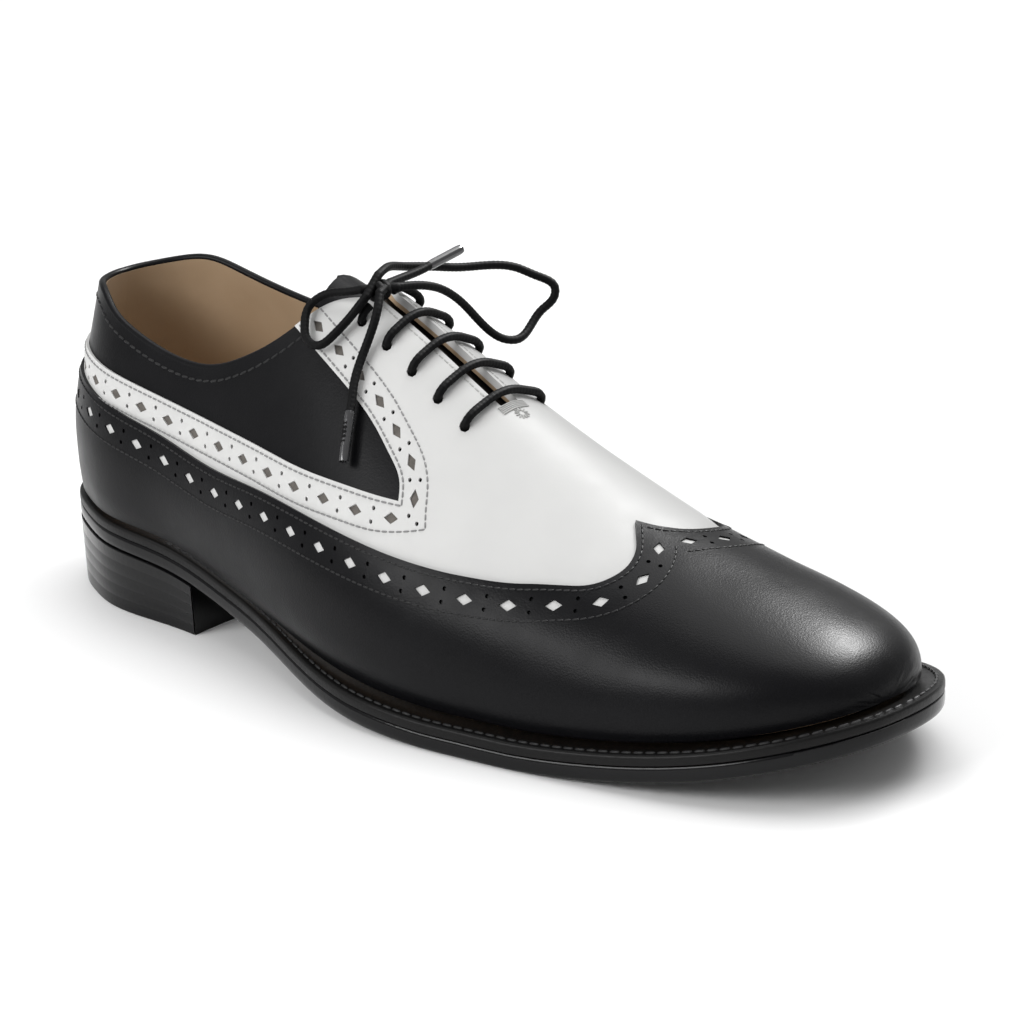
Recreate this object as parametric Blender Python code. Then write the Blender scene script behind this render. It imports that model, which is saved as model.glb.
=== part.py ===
"""A spectator shoe for the right foot: black wing and collar, white vamp and quarters.

The toe points along +X, the outer side of the foot along -Y and up is +Z. Every curved
piece comes from one last: half-sections along the foot, each a smooth curve through six
control points from the feather edge, where upper and sole meet, to the ridge on top.
A place on the last is a pair of numbers. The first is the path, in metres, from the
heel's back along the side to the toe. The second runs across the last, from -1 at the
outer feather edge over 0 at the ridge to +1 at the inner feather edge.
"""

import bpy
import bmesh
import numpy as np
from mathutils import Matrix, Vector
from mathutils.geometry import delaunay_2d_cdt

MM = 0.001
GAP = 0.3 * MM
LATERAL, MEDIAL = -1, 1

# The last
LAST_LENGTH = 292 * MM
BALL_HALF = 48 * MM
INSTEP_RISE = 90 * MM
HEEL_RISE = 20.5 * MM
TOE_SPRING = 14.3 * MM
TOE_POWER = 2.3
WALL_POWER = 2.4

# Leather
WALL = 2.0 * MM
OVERLAY = 1.1 * MM
TONGUE = 2.2 * MM
INSOLE = 2.5 * MM
INSOLE_CLEAR = 1.2 * MM
EYELET_HOLE = 3.8 * MM
EYELET_PITCH = 10.4 * MM
EYELET_SPREAD_TOP = 12.6 * MM
EYELET_SPREAD_END = 15.8 * MM
EYELET_ROWS = 5
THROAT_HALF = 3.4 * MM
TONGUE_HALF = 24.5 * MM
TONGUE_ROUND = 12 * MM

# Bottom
OUTSOLE = 4.6 * MM
WELT = 3.0 * MM
WELT_SEAT = 7.5 * MM
EDGE_HEEL = 1.3 * MM
EDGE_FOREFOOT = 6.5 * MM
HEEL_BREAST = 72.8 * MM
HEEL_TAPER = 0.6 * MM
BREAST_HOLLOW = 2.0 * MM
STACK = OUTSOLE + WELT + 2 * GAP
SKIN = OVERLAY + GAP

# Mesh spacing
GRID = 10.5 * MM
EDGE_STEP = 7.0 * MM
ACROSS_SPAN = 0.105


def table(columns, *rows):
    """Short table as a dict of arrays, one for each named column."""
    return dict(zip(columns.split(), np.array(rows, float).T))


# Places along the last: share of its length, turn about the heel's axis in degrees,
# rise of the sole's underside (share of the heel's rise, past the ball of the toe
# spring) and sideways swing of the middle line (share of the ball's half-width).
STATIONS = table(
    "along  turn  rise   swing",
    (0.116,  0, 1.005,  0.000),
    (0.116, 35, 0.995,  0.000),
    (0.116, 65, 0.965,  0.000),
    (0.116, 90, 0.935,  0.000),
    (0.212, 90, 0.830,  0.000),
    (0.295, 90, 0.615,  0.000),
    (0.384, 90, 0.390, -0.010),
    (0.479, 90, 0.166, -0.015),
    (0.575, 90, 0.034, -0.004),
    (0.664, 90, -0.010, 0.027),
    (0.747, 90, 0.025,  0.065),
    (0.839, 90, 0.224,  0.110),
    (0.925, 90, 0.573,  0.138),
    (1.000, 90, 1.000,  0.146))
BALL_ROW = 9

# Half-widths of the sections' control points, as shares of the ball's half-width.
LATERAL_OUT = table(
    "feather  low   wide shoulder crown",
    (0.708, 0.688, 0.719, 0.510, 0.417),
    (0.677, 0.679, 0.710, 0.494, 0.375),
    (0.635, 0.673, 0.715, 0.492, 0.313),
    (0.677, 0.740, 0.771, 0.500, 0.292),
    (0.698, 0.760, 0.823, 0.542, 0.292),
    (0.740, 0.813, 0.885, 0.625, 0.271),
    (0.829, 0.902, 0.996, 0.729, 0.250),
    (0.933, 1.015, 1.104, 0.813, 0.250),
    (0.992, 1.058, 1.121, 0.885, 0.281),
    (0.963, 1.017, 1.058, 0.875, 0.323),
    (0.908, 0.954, 0.979, 0.840, 0.344),
    (0.823, 0.871, 0.881, 0.781, 0.365),
    (0.767, 0.813, 0.813, 0.735, 0.375),
    (0.719, 0.750, 0.744, 0.677, 0.375))
MEDIAL_OUT = table(
    "feather  low   wide shoulder crown",
    (0.708, 0.688, 0.719, 0.510, 0.417),
    (0.677, 0.679, 0.710, 0.494, 0.375),
    (0.635, 0.673, 0.715, 0.492, 0.313),
    (0.677, 0.740, 0.771, 0.500, 0.292),
    (0.677, 0.750, 0.813, 0.542, 0.292),
    (0.646, 0.750, 0.833, 0.615, 0.271),
    (0.594, 0.729, 0.844, 0.688, 0.250),
    (0.635, 0.781, 0.917, 0.740, 0.250),
    (0.823, 0.933, 1.042, 0.833, 0.281),
    (0.969, 1.042, 1.094, 0.875, 0.323),
    (1.021, 1.073, 1.094, 0.867, 0.344),
    (0.958, 1.000, 1.006, 0.825, 0.365),
    (0.875, 0.913, 0.913, 0.771, 0.375),
    (0.808, 0.840, 0.829, 0.721, 0.375))

# Heights of the control points over the feather edge, as shares of the instep's rise.
SECTION_UP = table(
    "low    wide  shoulder crown  ridge",
    (0.067, 0.267, 0.689, 1.111, 1.244),
    (0.067, 0.267, 0.689, 1.111, 1.244),
    (0.067, 0.267, 0.678, 1.100, 1.222),
    (0.067, 0.256, 0.667, 1.089, 1.200),
    (0.067, 0.244, 0.644, 1.067, 1.156),
    (0.056, 0.222, 0.622, 1.022, 1.078),
    (0.056, 0.200, 0.617, 0.994, 1.022),
    (0.050, 0.183, 0.589, 0.928, 0.938),
    (0.050, 0.167, 0.506, 0.792, 0.799),
    (0.044, 0.144, 0.411, 0.649, 0.653),
    (0.044, 0.122, 0.333, 0.522, 0.527),
    (0.039, 0.111, 0.264, 0.406, 0.411),
    (0.039, 0.106, 0.219, 0.311, 0.316),
    (0.039, 0.100, 0.188, 0.254, 0.258))

# Lines on the upper: path from the heel's back as a share of PATH_UNIT, the path's length
# in plan, and share of the way up the section, 0 at the feather edge and 1 at the ridge.
TOPLINE_LATERAL = table(
    "path    up",
    (0.000, 0.650),
    (0.065, 0.655),
    (0.112, 0.660),
    (0.150, 0.642),
    (0.198, 0.621),
    (0.247, 0.613),
    (0.298, 0.643),
    (0.341, 0.703),
    (0.389, 0.800),
    (0.421, 0.898),
    (0.443, 0.945))
TOPLINE_MEDIAL = table(
    "path    up",
    (0.000, 0.650),
    (0.065, 0.660),
    (0.112, 0.678),
    (0.150, 0.683),
    (0.198, 0.672),
    (0.247, 0.668),
    (0.298, 0.688),
    (0.341, 0.730),
    (0.389, 0.810),
    (0.421, 0.900),
    (0.443, 0.945))
THROAT = table(
    "path    end",
    (0.456, 0),
    (0.613, 1))
WING_EDGE = table(
    "path    up",
    (0.000, 0.465),
    (0.060, 0.463),
    (0.112, 0.457),
    (0.166, 0.444),
    (0.235, 0.433),
    (0.301, 0.441),
    (0.406, 0.496),
    (0.501, 0.535),
    (0.563, 0.563),
    (0.617, 0.596),
    (0.663, 0.634),
    (0.706, 0.682),
    (0.746, 0.745),
    (0.764, 0.791),
    (0.775, 0.860),
    (0.770, 0.924),
    (0.753, 1.000))
BAND_LOWER = table(
    "path    up",
    (0.000, 0.530),
    (0.104, 0.525),
    (0.194, 0.521),
    (0.257, 0.525),
    (0.320, 0.552),
    (0.394, 0.581),
    (0.457, 0.602),
    (0.510, 0.632),
    (0.557, 0.666),
    (0.574, 0.681))
BAND_FRONT = table(
    "path    up",
    (0.574, 0.681),
    (0.568, 0.708),
    (0.548, 0.735),
    (0.520, 0.757),
    (0.478, 0.777),
    (0.436, 0.793),
    (0.393, 0.813))

# Lace: bars over the throat, and a bow whose points are chosen by hand in millimetres
# from the heel's back, the middle of the heel and the floor.
LACE = 2.4 * MM
AGLET = 2.7 * MM
BAR_DEPTH = 3.1 * MM
BAR_CLEAR = 0.45 * MM
KNOT = (125.5, -5.9, 105.6)
KNOT_HALF = (3.2, 4.1, 2.5)
NEAR_LOOP = ((122.9, -10.2, 106.4), (119.4, -11.9, 105.6), (112.4, -13.8, 104.0),
             (109.4, -17.1, 101.0), (110.8, -20.6, 96.9), (114.5, -23.0, 93.1),
             (118.6, -22.8, 92.6), (121.2, -19.8, 95.2), (123.6, -14.8, 100.2),
             (125.2, -12.3, 103.6), (125.5, -10.9, 104.9))
FAR_LOOP = ((124.4, -4.9, 109.6), (122.4, 0.2, 110.2), (119.4, 8.6, 108.4),
            (119.8, 19.2, 106.2), (122.0, 30.2, 104.0), (128.9, 44.8, 102.0),
            (132.7, 50.0, 98.9), (136.5, 52.8, 95.8), (137.0, 52.0, 93.2),
            (136.0, 48.0, 90.1), (136.3, 42.0, 85.9), (136.7, 37.0, 84.0),
            (135.3, 32.6, 84.8), (133.5, 28.0, 88.4), (131.6, 20.6, 97.0),
            (130.6, 12.6, 103.0), (129.8, 4.8, 105.5), (128.5, -2.0, 106.3))
LOWER_END = ((129.0, -9.0, 106.2), (131.0, -12.0, 102.6), (131.9, -17.6, 93.9),
             (134.0, -24.9, 84.9), (136.4, -28.9, 79.2))
UPPER_END = ((125.0, -1.3, 106.7), (123.9, 5.0, 106.7), (123.2, 15.6, 107.5))
LOWER_AGLET = ((136.6, -29.3, 78.7), (141.2, -36.8, 67.3))
UPPER_AGLET = ((123.2, 16.1, 107.6), (123.5, 28.6, 109.9))
OUTER_LEAD = ((125.4, -9.3, 102.1),)
INNER_LEAD = ((124.4, 6.6, 102.8), (124.8, 3.4, 104.4), (125.5, -0.6, 104.4))

TONGUE_TOP = 0.397
TONGUE_END = 0.665
WING_FOOT = 1.9 * MM


def natural_spline(knots, values, at):
    """Natural cubic spline through the rows of values at the knots."""
    at = np.asarray(at, float)
    count = len(knots)
    width = np.diff(knots)
    matrix = np.eye(count)
    right = np.zeros_like(values)
    for i in range(1, count - 1):
        matrix[i, i - 1:i + 2] = width[i - 1], 2 * (width[i - 1] + width[i]), width[i]
        right[i] = 6 * ((values[i + 1] - values[i]) / width[i]
                        - (values[i] - values[i - 1]) / width[i - 1])
    bend = np.linalg.solve(matrix, right)
    k = np.clip(np.searchsorted(knots, at) - 1, 0, count - 2)
    t = (at - knots[k])[:, None]
    h = width[k][:, None]
    slope = (values[k + 1] - values[k]) / h - h * (2 * bend[k] + bend[k + 1]) / 6
    return (values[k] + slope * t + bend[k] * t ** 2 / 2
            + (bend[k + 1] - bend[k]) * t ** 3 / (6 * h))


def spline_weights(up):
    """Weights of six control points of a clamped cubic B-spline."""
    up = np.clip(np.asarray(up, float), 0, 1 - 1e-9)
    knots = np.array([0, 0, 0, 0, 1 / 3, 2 / 3, 1, 1, 1, 1])
    weights = [((knots[i] <= up) & (up < knots[i + 1])) * 1.0 for i in range(9)]
    for degree in (1, 2, 3):
        raised = []
        for i in range(9 - degree):
            before = knots[i + degree] - knots[i]
            after = knots[i + degree + 1] - knots[i + 1]
            value = 0 * up
            if before > 0:
                value = value + (up - knots[i]) / before * weights[i]
            if after > 0:
                value = value + (knots[i + degree + 1] - up) / after * weights[i + 1]
            raised.append(value)
        weights = raised
    return np.stack(weights, -1)


def lay_out_last():
    """Rows of control points for each side, mirrored behind the heel's back."""
    along = STATIONS["along"] * LAST_LENGTH
    turn = np.radians(STATIONS["turn"])
    fan = STATIONS["along"][0] * LAST_LENGTH * 0.94
    knots = np.where(STATIONS["turn"] < 90, fan * turn, fan * np.pi / 2 + along - along[0])
    swing = STATIONS["swing"][:, None] * BALL_HALF
    ups = np.column_stack([0 * along] + list(SECTION_UP.values())) * INSTEP_RISE
    rows = {}
    for side, out in ((LATERAL, LATERAL_OUT), (MEDIAL, MEDIAL_OUT)):
        out = np.column_stack(list(out.values()) + [0 * along]) * BALL_HALF
        x = along[:, None] - out * np.cos(turn)[:, None]
        y = out * np.sin(turn)[:, None]
        rows[side] = np.hstack([x, y, ups])
        mirrored = np.hstack([x, -y, ups])[2:0:-1]
        rows[side] = np.vstack([mirrored, rows[side]])
    swing = np.vstack([swing[2:0:-1], swing])
    return np.concatenate([-knots[2:0:-1], knots]), rows, swing


KNOTS, SIDE_ROWS, SWING_ROWS = lay_out_last()
PATH_UNIT = KNOTS[-1]
HEEL_AXIS = STATIONS["along"][0] * LAST_LENGTH
SIDE_START = KNOTS[5]
TOE_ROUND = 0.2 * LAST_LENGTH
WALL_ROUND = 0.178 * LAST_LENGTH
TOE_START = PATH_UNIT - TOE_ROUND
TOE_PATH = 1.3 * TOE_ROUND
PATH_END = TOE_START + TOE_PATH


def station(path):
    """Knot value of the section at a path length, which slows down round the toe."""
    turn = np.clip((path - TOE_START) / TOE_PATH, 0, 1) * np.pi / 2
    return np.minimum(path, TOE_START) + TOE_ROUND * np.sin(turn)


def path_at(x):
    """Path length of the straight section that stands at x."""
    return SIDE_START + x - HEEL_AXIS


def underside(x):
    """Height of the outsole's underside at x, flat on the floor under the ball."""
    turn = np.radians(STATIONS["turn"])
    knots = (STATIONS["along"] * LAST_LENGTH
             - LATERAL_OUT["feather"] * BALL_HALF * np.cos(turn))
    scale = np.where(np.arange(len(knots)) <= BALL_ROW, HEEL_RISE, TOE_SPRING)
    rise = (STATIONS["rise"] * scale)[:, None]
    flat = np.ravel(x)
    return np.maximum(natural_spline(knots, rise, flat)[:, 0], 0).reshape(np.shape(x))


def half_sections(path, side):
    """Control points of the half-sections at each path length, shape (n, 6, 3)."""
    rows = natural_spline(KNOTS, SIDE_ROWS[side], station(path))
    swing = natural_spline(KNOTS, SWING_ROWS, station(path))
    x, y, up = rows[:, :6], rows[:, 6:12], rows[:, 12:]
    ahead = np.clip((x[:, :1] - (LAST_LENGTH - TOE_ROUND)) / TOE_ROUND, 0, 1)
    narrow = (1 - ahead ** TOE_POWER) ** (1 / TOE_POWER)
    ahead = np.clip((x[:, :1] - (LAST_LENGTH - WALL_ROUND)) / WALL_ROUND, 0, 1)
    low = (1 - ahead ** WALL_POWER) ** (1 / WALL_POWER)
    z = underside(x[:, :1]) + STACK + up * low
    return np.stack([x, side * y * narrow + swing, z], -1)


def last_point(path, across):
    """Points on the last."""
    path, across = np.broadcast_arrays(np.asarray(path, float), np.asarray(across, float))
    weights = spline_weights(1 - np.abs(across))
    points = np.zeros(path.shape + (3,))
    for side in (LATERAL, MEDIAL):
        mine = (across < 0) if side == LATERAL else (across >= 0)
        if mine.any():
            controls = half_sections(path[mine], side)
            points[mine] = np.einsum("ni,nij->nj", weights[mine], controls)
    return points


def last_frame(path, across):
    """Points, outward normals and the lengths of a unit step along and across."""
    path, across = np.broadcast_arrays(np.asarray(path, float), np.asarray(across, float))
    inner = np.clip(path, None, PATH_END - 1 * MM)
    small = 0.02 * MM
    little = 2e-4
    along = (last_point(inner + small, across) - last_point(inner - small, across))
    along = along / (2 * small)
    low, high = np.maximum(across - little, -1), np.minimum(across + little, 1)
    over = (last_point(inner, high) - last_point(inner, low)) / (high - low)[:, None]
    normal = np.cross(over, along)
    normal /= np.linalg.norm(normal, axis=1)[:, None]
    normal = np.where((path > PATH_END - 1e-7)[:, None], np.array([1.0, 0, 0]), normal)
    return (last_point(path, across), -normal * facing(normal, path, across),
            np.linalg.norm(along, axis=1), np.linalg.norm(over, axis=1))


def facing(normal, path, across):
    """One sign for all normals, so that they point out of the last."""
    away = last_point(path, across) - np.array([LAST_LENGTH / 2, 0, INSTEP_RISE / 3])
    return -np.sign(np.sum(normal * away))


def resample(line, step=EDGE_STEP):
    """Points along a line of (path, across) pairs, about one step apart."""
    points = last_point(line[:, 0], line[:, 1])
    run = np.concatenate([[0], np.cumsum(np.linalg.norm(np.diff(points, axis=0), axis=1))])
    count = max(2, int(np.ceil(run[-1] / step)) + 1)
    at = np.linspace(0, run[-1], count)
    return np.column_stack([np.interp(at, run, line[:, 0]), np.interp(at, run, line[:, 1])])


def smooth_line(rows, side):
    """Smooth line of (path, across) through a table of path and up shares."""
    points = np.column_stack([rows["path"] * PATH_UNIT, rows["up"]])
    run = np.concatenate([[0], np.cumsum(np.hypot(np.diff(points[:, 0]),
                                                  np.diff(points[:, 1]) * ACROSS_SPAN))])
    fine = natural_spline(run, points, np.linspace(0, run[-1], 12 * len(points)))
    return resample(np.column_stack([fine[:, 0], side * (1 - fine[:, 1])]))


def shift_line(line, distance):
    """The line moved sideways over the last, to the left of its direction."""
    points, _, along, over = last_frame(line[:, 0], line[:, 1])
    ahead = np.gradient(line, axis=0) * np.column_stack([along, over])
    ahead /= np.linalg.norm(ahead, axis=1)[:, None]
    left = np.column_stack([-ahead[:, 1] / along, ahead[:, 0] / over]) * distance
    on_seam = line[:, 0] < 1e-6
    left[on_seam] = np.column_stack([0 * along, np.sign(left[:, 1]) * abs(distance) / over])[on_seam]
    return line + left


def eyelet_places(side):
    """Middle of each eyelet hole, from the top down."""
    first = THROAT["path"][0] * PATH_UNIT
    spreads = np.linspace(EYELET_SPREAD_TOP, EYELET_SPREAD_END, EYELET_ROWS)
    places = []
    for row, spread in enumerate(spreads):
        path = first + row * EYELET_PITCH
        over = last_frame(np.array([path]), np.array([side * 0.06]))[3][0]
        places.append((path, side * spread / over))
    return places


def ring_on_last(place, radius, sides=8):
    """Round outline about a place on the last."""
    path, across = place
    _, _, along, over = last_frame(np.array([path]), np.array([across]))
    angle = np.arange(sides) * 2 * np.pi / sides + np.pi / sides
    return np.column_stack([path + radius * np.cos(angle) / along,
                            across + radius * np.sin(angle) / over])


def throat_edge(side):
    """Straight edge of the facing beside the throat, from its top to its end."""
    path = np.linspace(THROAT["path"][0], THROAT["path"][1], 9) * PATH_UNIT
    over = last_frame(path, np.full(9, side * 0.02))[3]
    half = THROAT_HALF * np.where(np.arange(9) == 8, 0.75, 1)
    return np.column_stack([path, side * half / over])


def collar_line():
    """Edge of the opening for the foot: outer topline, throat and inner topline."""
    outer = smooth_line(TOPLINE_LATERAL, LATERAL)
    inner = smooth_line(TOPLINE_MEDIAL, MEDIAL)
    return np.vstack([outer, throat_edge(LATERAL), throat_edge(MEDIAL)[::-1], inner[::-1]])


def wing_line():
    """Upper edge of the wing, from the heel's back over the ridge and round again."""
    outer = smooth_line(WING_EDGE, LATERAL)
    inner = smooth_line(WING_EDGE, MEDIAL)
    return np.vstack([outer, inner[::-1][1:]])


def band_line(side):
    """Edge of the white quarter round the dark collar, from the heel to the topline."""
    lower = smooth_line(BAND_LOWER, side)
    front = smooth_line(BAND_FRONT, side)
    return np.vstack([lower, front[1:]])


def foot_line(side):
    """Lower edge of the wing, one height over the welt, as far as the toe's tip."""
    path = np.concatenate([lengthwise_grid()[:-1], PATH_END - np.array([5, 3.5]) * MM])
    fine = np.linspace(1, 0, 81)
    line = []
    for place in path:
        points = last_point(np.full(81, place), side * fine)
        rise = points[:, 2] - points[0, 2]
        if rise[-1] > 1.05 * WING_FOOT:
            line.append((place, side * np.interp(WING_FOOT, rise, fine)))
    return np.array(line)


def foot_tip():
    """Place where the wing's lower edge crosses the ridge at the toe's tip."""
    path = np.linspace(PATH_END - 20 * MM, PATH_END, 201)
    rise = (last_point(path, np.zeros(201)) - last_point(path, np.ones(201)))[:, 2]
    return np.array([[np.interp(WING_FOOT, rise[::-1], path[::-1]), 0.0]])


def lengthwise_grid():
    """Path lengths of the grid, closer at the heel's turn and at the toe."""
    heel = np.linspace(0, SIDE_START, 7)
    body = np.linspace(SIDE_START, TOE_START,
                       int(np.ceil((TOE_START - SIDE_START) / GRID)) + 1)
    toe = np.linspace(TOE_START, PATH_END, 10)
    return np.concatenate([heel, body[1:], toe[1:]])


def tongue_outline():
    """Outline of the tongue under the throat, with round upper corners."""
    top, end = TONGUE_TOP * PATH_UNIT, TONGUE_END * PATH_UNIT
    corner = 12 * MM
    path = [end, top + corner]
    out = [TONGUE_HALF * 0.8, TONGUE_HALF]
    for angle in np.radians((30, 60, 90)):
        path.append(top + corner * (1 - np.sin(angle)))
        out.append(TONGUE_HALF - corner * (1 - np.cos(angle)))
    path, out = np.array(path), np.array(out)
    sides = []
    for side in (LATERAL, MEDIAL):
        over = last_frame(path, np.full(len(path), side * 0.08))[3]
        sides.append(resample(np.column_stack([path, side * out / over])))
    return np.vstack([sides[0], sides[1][::-1]])


def fill_out(loop):
    """The closed loop with points added where two neighbours lie far apart."""
    filled = []
    for start, end in zip(loop, np.roll(loop, -1, axis=0)):
        filled.append(start)
        ends = last_point(np.array([start[0], end[0]]), np.array([start[1], end[1]]))
        count = int(np.ceil(np.linalg.norm(ends[1] - ends[0]) / (1.4 * EDGE_STEP)))
        if start[0] > 0 or end[0] > 0:
            filled.extend(start + (end - start) * i / count for i in range(1, count))
    return np.array(filled)


def inside(polygon, points):
    """Which points lie inside a closed outline."""
    x, y = points[:, 0], points[:, 1]
    found = np.zeros(len(points), bool)
    for (ax, ay), (bx, by) in zip(polygon, np.roll(polygon, -1, axis=0)):
        spans = (ay > y) != (by > y)
        if spans.any():
            cut = (bx - ax) * (y - ay) / (by - ay + 1e-30) + ax
            found ^= spans & (x < cut)
    return found


class Pattern:
    """One triangulation of the whole last, from which every sheet takes its triangles."""

    def __init__(self, loops):
        loops = {name: fill_out(loop) for name, loop in loops.items()}
        self.loops = loops
        points, edges = [], []

        for loop in loops.values():
            start = len(points)
            points.extend(loop)
            edges.extend((start + i, start + i + 1) for i in range(len(loop) - 1))
            edges.append((start + len(loop) - 1, start))
        taken = np.array(points) * (1, ACROSS_SPAN)
        for path in lengthwise_grid():
            rows = 9 if path < PATH_END - 20 * MM else 6 if path < PATH_END - 10 * MM else 3
            for across in np.linspace(-1, 1, 2 * rows + 1):
                place = np.array([path, across * ACROSS_SPAN])
                on_rim = abs(across) == 1 or path in (0, PATH_END)
                near = np.min(np.linalg.norm(taken - place, axis=1))
                if near > (0.45 * GRID if not on_rim else 2 * MM):
                    points.append((path, across))
        flat = [Vector((p[0], p[1] * ACROSS_SPAN)) for p in points]
        verts, _, faces, _, _, _ = delaunay_2d_cdt(flat, edges, [], 0, 1e-7)
        self.places = np.array([(v[0], v[1] / ACROSS_SPAN) for v in verts])
        self.places[:, 1] = np.clip(self.places[:, 1], -1, 1)
        self.places[:, 0] = np.clip(self.places[:, 0], 0, PATH_END)
        self.faces = np.array(faces)
        self.middles = self.places[self.faces].mean(axis=1)
        self.points, self.normals, _, _ = last_frame(self.places[:, 0], self.places[:, 1])
        self.same = self.join_seams()

    def join_seams(self):
        """Index of the vertex that stands for each one at the heel seam and the tip."""
        same = np.arange(len(self.places))
        seam = np.where(self.places[:, 0] < 1e-6)[0]
        outer = seam[self.places[seam, 1] < 0]
        for i in seam[self.places[seam, 1] >= 0]:
            gap = np.abs(self.places[outer, 1] + self.places[i, 1])
            if gap.min() < 1e-3:
                same[i] = outer[gap.argmin()]
        tip = np.where(self.places[:, 0] > PATH_END - 1e-6)[0]
        same[tip] = tip[0]
        return same

    def within(self, name):
        return inside(self.loops[name], self.middles)


def new_material(name, colour, roughness, metallic=0.0, coat=0.0):
    material = bpy.data.materials.new(name)
    material.use_nodes = True
    shader = material.node_tree.nodes["Principled BSDF"]
    shader.inputs["Base Color"].default_value = (*colour, 1)
    shader.inputs["Roughness"].default_value = roughness
    shader.inputs["Metallic"].default_value = metallic
    shader.inputs["Coat Weight"].default_value = coat
    material.diffuse_color = (*colour, 1)
    return material


def new_object(name, verts, faces, material, sharp=40):
    """Closed mesh object with its faces pointing out."""
    mesh = bpy.data.meshes.new(name)
    mesh.from_pydata([tuple(v) for v in verts], [], [tuple(f) for f in faces])
    shape = bmesh.new()
    shape.from_mesh(mesh)
    bmesh.ops.recalc_face_normals(shape, faces=shape.faces)
    if shape.calc_volume(signed=True) < 0:
        bmesh.ops.reverse_faces(shape, faces=shape.faces)
    shape.to_mesh(mesh)
    shape.free()
    mesh.shade_smooth()
    mesh.set_sharp_from_angle(angle=np.radians(sharp))
    mesh.materials.append(material)
    thing = bpy.data.objects.new(name, mesh)
    bpy.context.collection.objects.link(thing)
    return thing


def ridge_drop(places):
    """How far the tongue sinks to lie round under the last's ridge."""
    controls = half_sections(places[:, 0], LATERAL)
    slope = ((controls[:, 5, 2] - controls[:, 4, 2])
             / np.abs(controls[:, 4, 1] - controls[:, 5, 1]).clip(1 * MM))
    out = np.abs(places[:, 1]) * last_frame(places[:, 0], np.full(len(places), 0.04))[3]
    return slope.clip(0) * TONGUE_ROUND / 2 * (1 - out / TONGUE_ROUND).clip(0) ** 2


def sheet_solid(name, pattern, chosen, inner, outer, material, drop=None):
    """Leather between two offsets of the last, over the chosen triangles."""
    faces = pattern.same[pattern.faces[chosen]]
    distinct = ((faces[:, 0] != faces[:, 1]) & (faces[:, 1] != faces[:, 2])
                & (faces[:, 2] != faces[:, 0]))
    faces = faces[distinct]
    used, faces = np.unique(faces, return_inverse=True)
    faces = faces.reshape(-1, 3)
    count = len(used)
    points, normals = pattern.points[used], pattern.normals[used]
    verts = np.vstack([points + normals * outer, points + normals * inner])
    if drop is not None:
        verts[:, 2] -= np.tile(drop[used], 2)
    verts[:, 2] = np.maximum(verts[:, 2], underside(verts[:, 0]) + STACK)
    edges = {}
    for a, b, c in faces:
        for start, end in ((a, b), (b, c), (c, a)):
            edges[(start, end)] = edges.get((start, end), 0) + 1
    rim = [(a, b) for (a, b) in edges if (b, a) not in edges]
    solid = [tuple(f) for f in faces]
    solid += [(a + count, c + count, b + count) for a, b, c in faces]
    solid += [(b, a, a + count, b + count) for a, b in rim]
    return new_object(name, verts, solid, material)


def feather_line(path, side, out):
    """Points of the sole's outline: the feather edge moved out in plan."""
    def plan(at):
        return half_sections(at, side)[:, 0, :]
    small = 0.05 * MM
    ahead = plan(np.minimum(path + small, PATH_END)) - plan(path - small)
    ahead[:, 2] = 0
    ahead /= np.linalg.norm(ahead, axis=1)[:, None]
    away = np.column_stack([ahead[:, 1], -ahead[:, 0], 0 * path]) * -side
    away[path < 1e-7] = (-1, 0, 0)
    away[path > PATH_END - 1e-7] = (1, 0, 0)
    return plan(path) + away * np.broadcast_to(out, path.shape)[:, None]


def edge_width(path):
    """How far the sole's edge stands out from the upper."""
    waist = path_at(0.33 * LAST_LENGTH)
    ball = path_at(0.55 * LAST_LENGTH)
    blend = np.clip((path - waist) / (ball - waist), 0, 1)
    blend = blend * blend * (3 - 2 * blend)
    return EDGE_HEEL + (EDGE_FOREFOOT - EDGE_HEEL) * blend


def bottom_path(end=None):
    """Path lengths of the bottom pieces' ribs."""
    path = lengthwise_grid()
    return path if end is None else np.concatenate([path[path < end - 2 * MM], [end]])


def slab(name, path, out, low, high, material, ribs=2, hollow=0.0, taper=0.0, sharp=30):
    """Plate across the foot: ribs from side to side, between two heights."""
    share = np.linspace(0, 1, ribs)
    layers = []
    for height, inset in ((high, 0.0), (low, taper)):
        outer = feather_line(path, LATERAL, out - inset)
        inner = feather_line(path, MEDIAL, out - inset)
        rows = outer[:, None] * (1 - share)[:, None] + inner[:, None] * share[:, None]
        rows[-1, :, 0] -= hollow * (1 - (2 * share - 1) ** 2)
        rows[:, :, 2] = height(rows[:, :, 0])
        layers.append(rows)
    grid = np.array(layers)
    verts = grid.reshape(-1, 3)
    index = np.arange(len(verts)).reshape(grid.shape[:3])
    closed = [path[0] < 1e-7, path[-1] > PATH_END - 1e-7]
    for layer in range(2):
        for row, shut in ((0, closed[0]), (-1, closed[1])):
            if shut:
                index[layer, row] = index[layer, row, 0]
    faces = []
    rows = len(path)
    for i in range(rows - 1):
        for j in range(ribs - 1):
            quad = [(i, j), (i + 1, j), (i + 1, j + 1), (i, j + 1)]
            faces.append([index[0][q] for q in quad])
            faces.append([index[1][q] for q in reversed(quad)])
        for j in (0, ribs - 1):
            faces.append([index[0, i, j], index[0, i + 1, j],
                          index[1, i + 1, j], index[1, i, j]])
    if not closed[1]:
        for j in range(ribs - 1):
            faces.append([index[0, -1, j], index[0, -1, j + 1],
                          index[1, -1, j + 1], index[1, -1, j]])
    return tidy_object(name, verts, faces, material, sharp)


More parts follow.
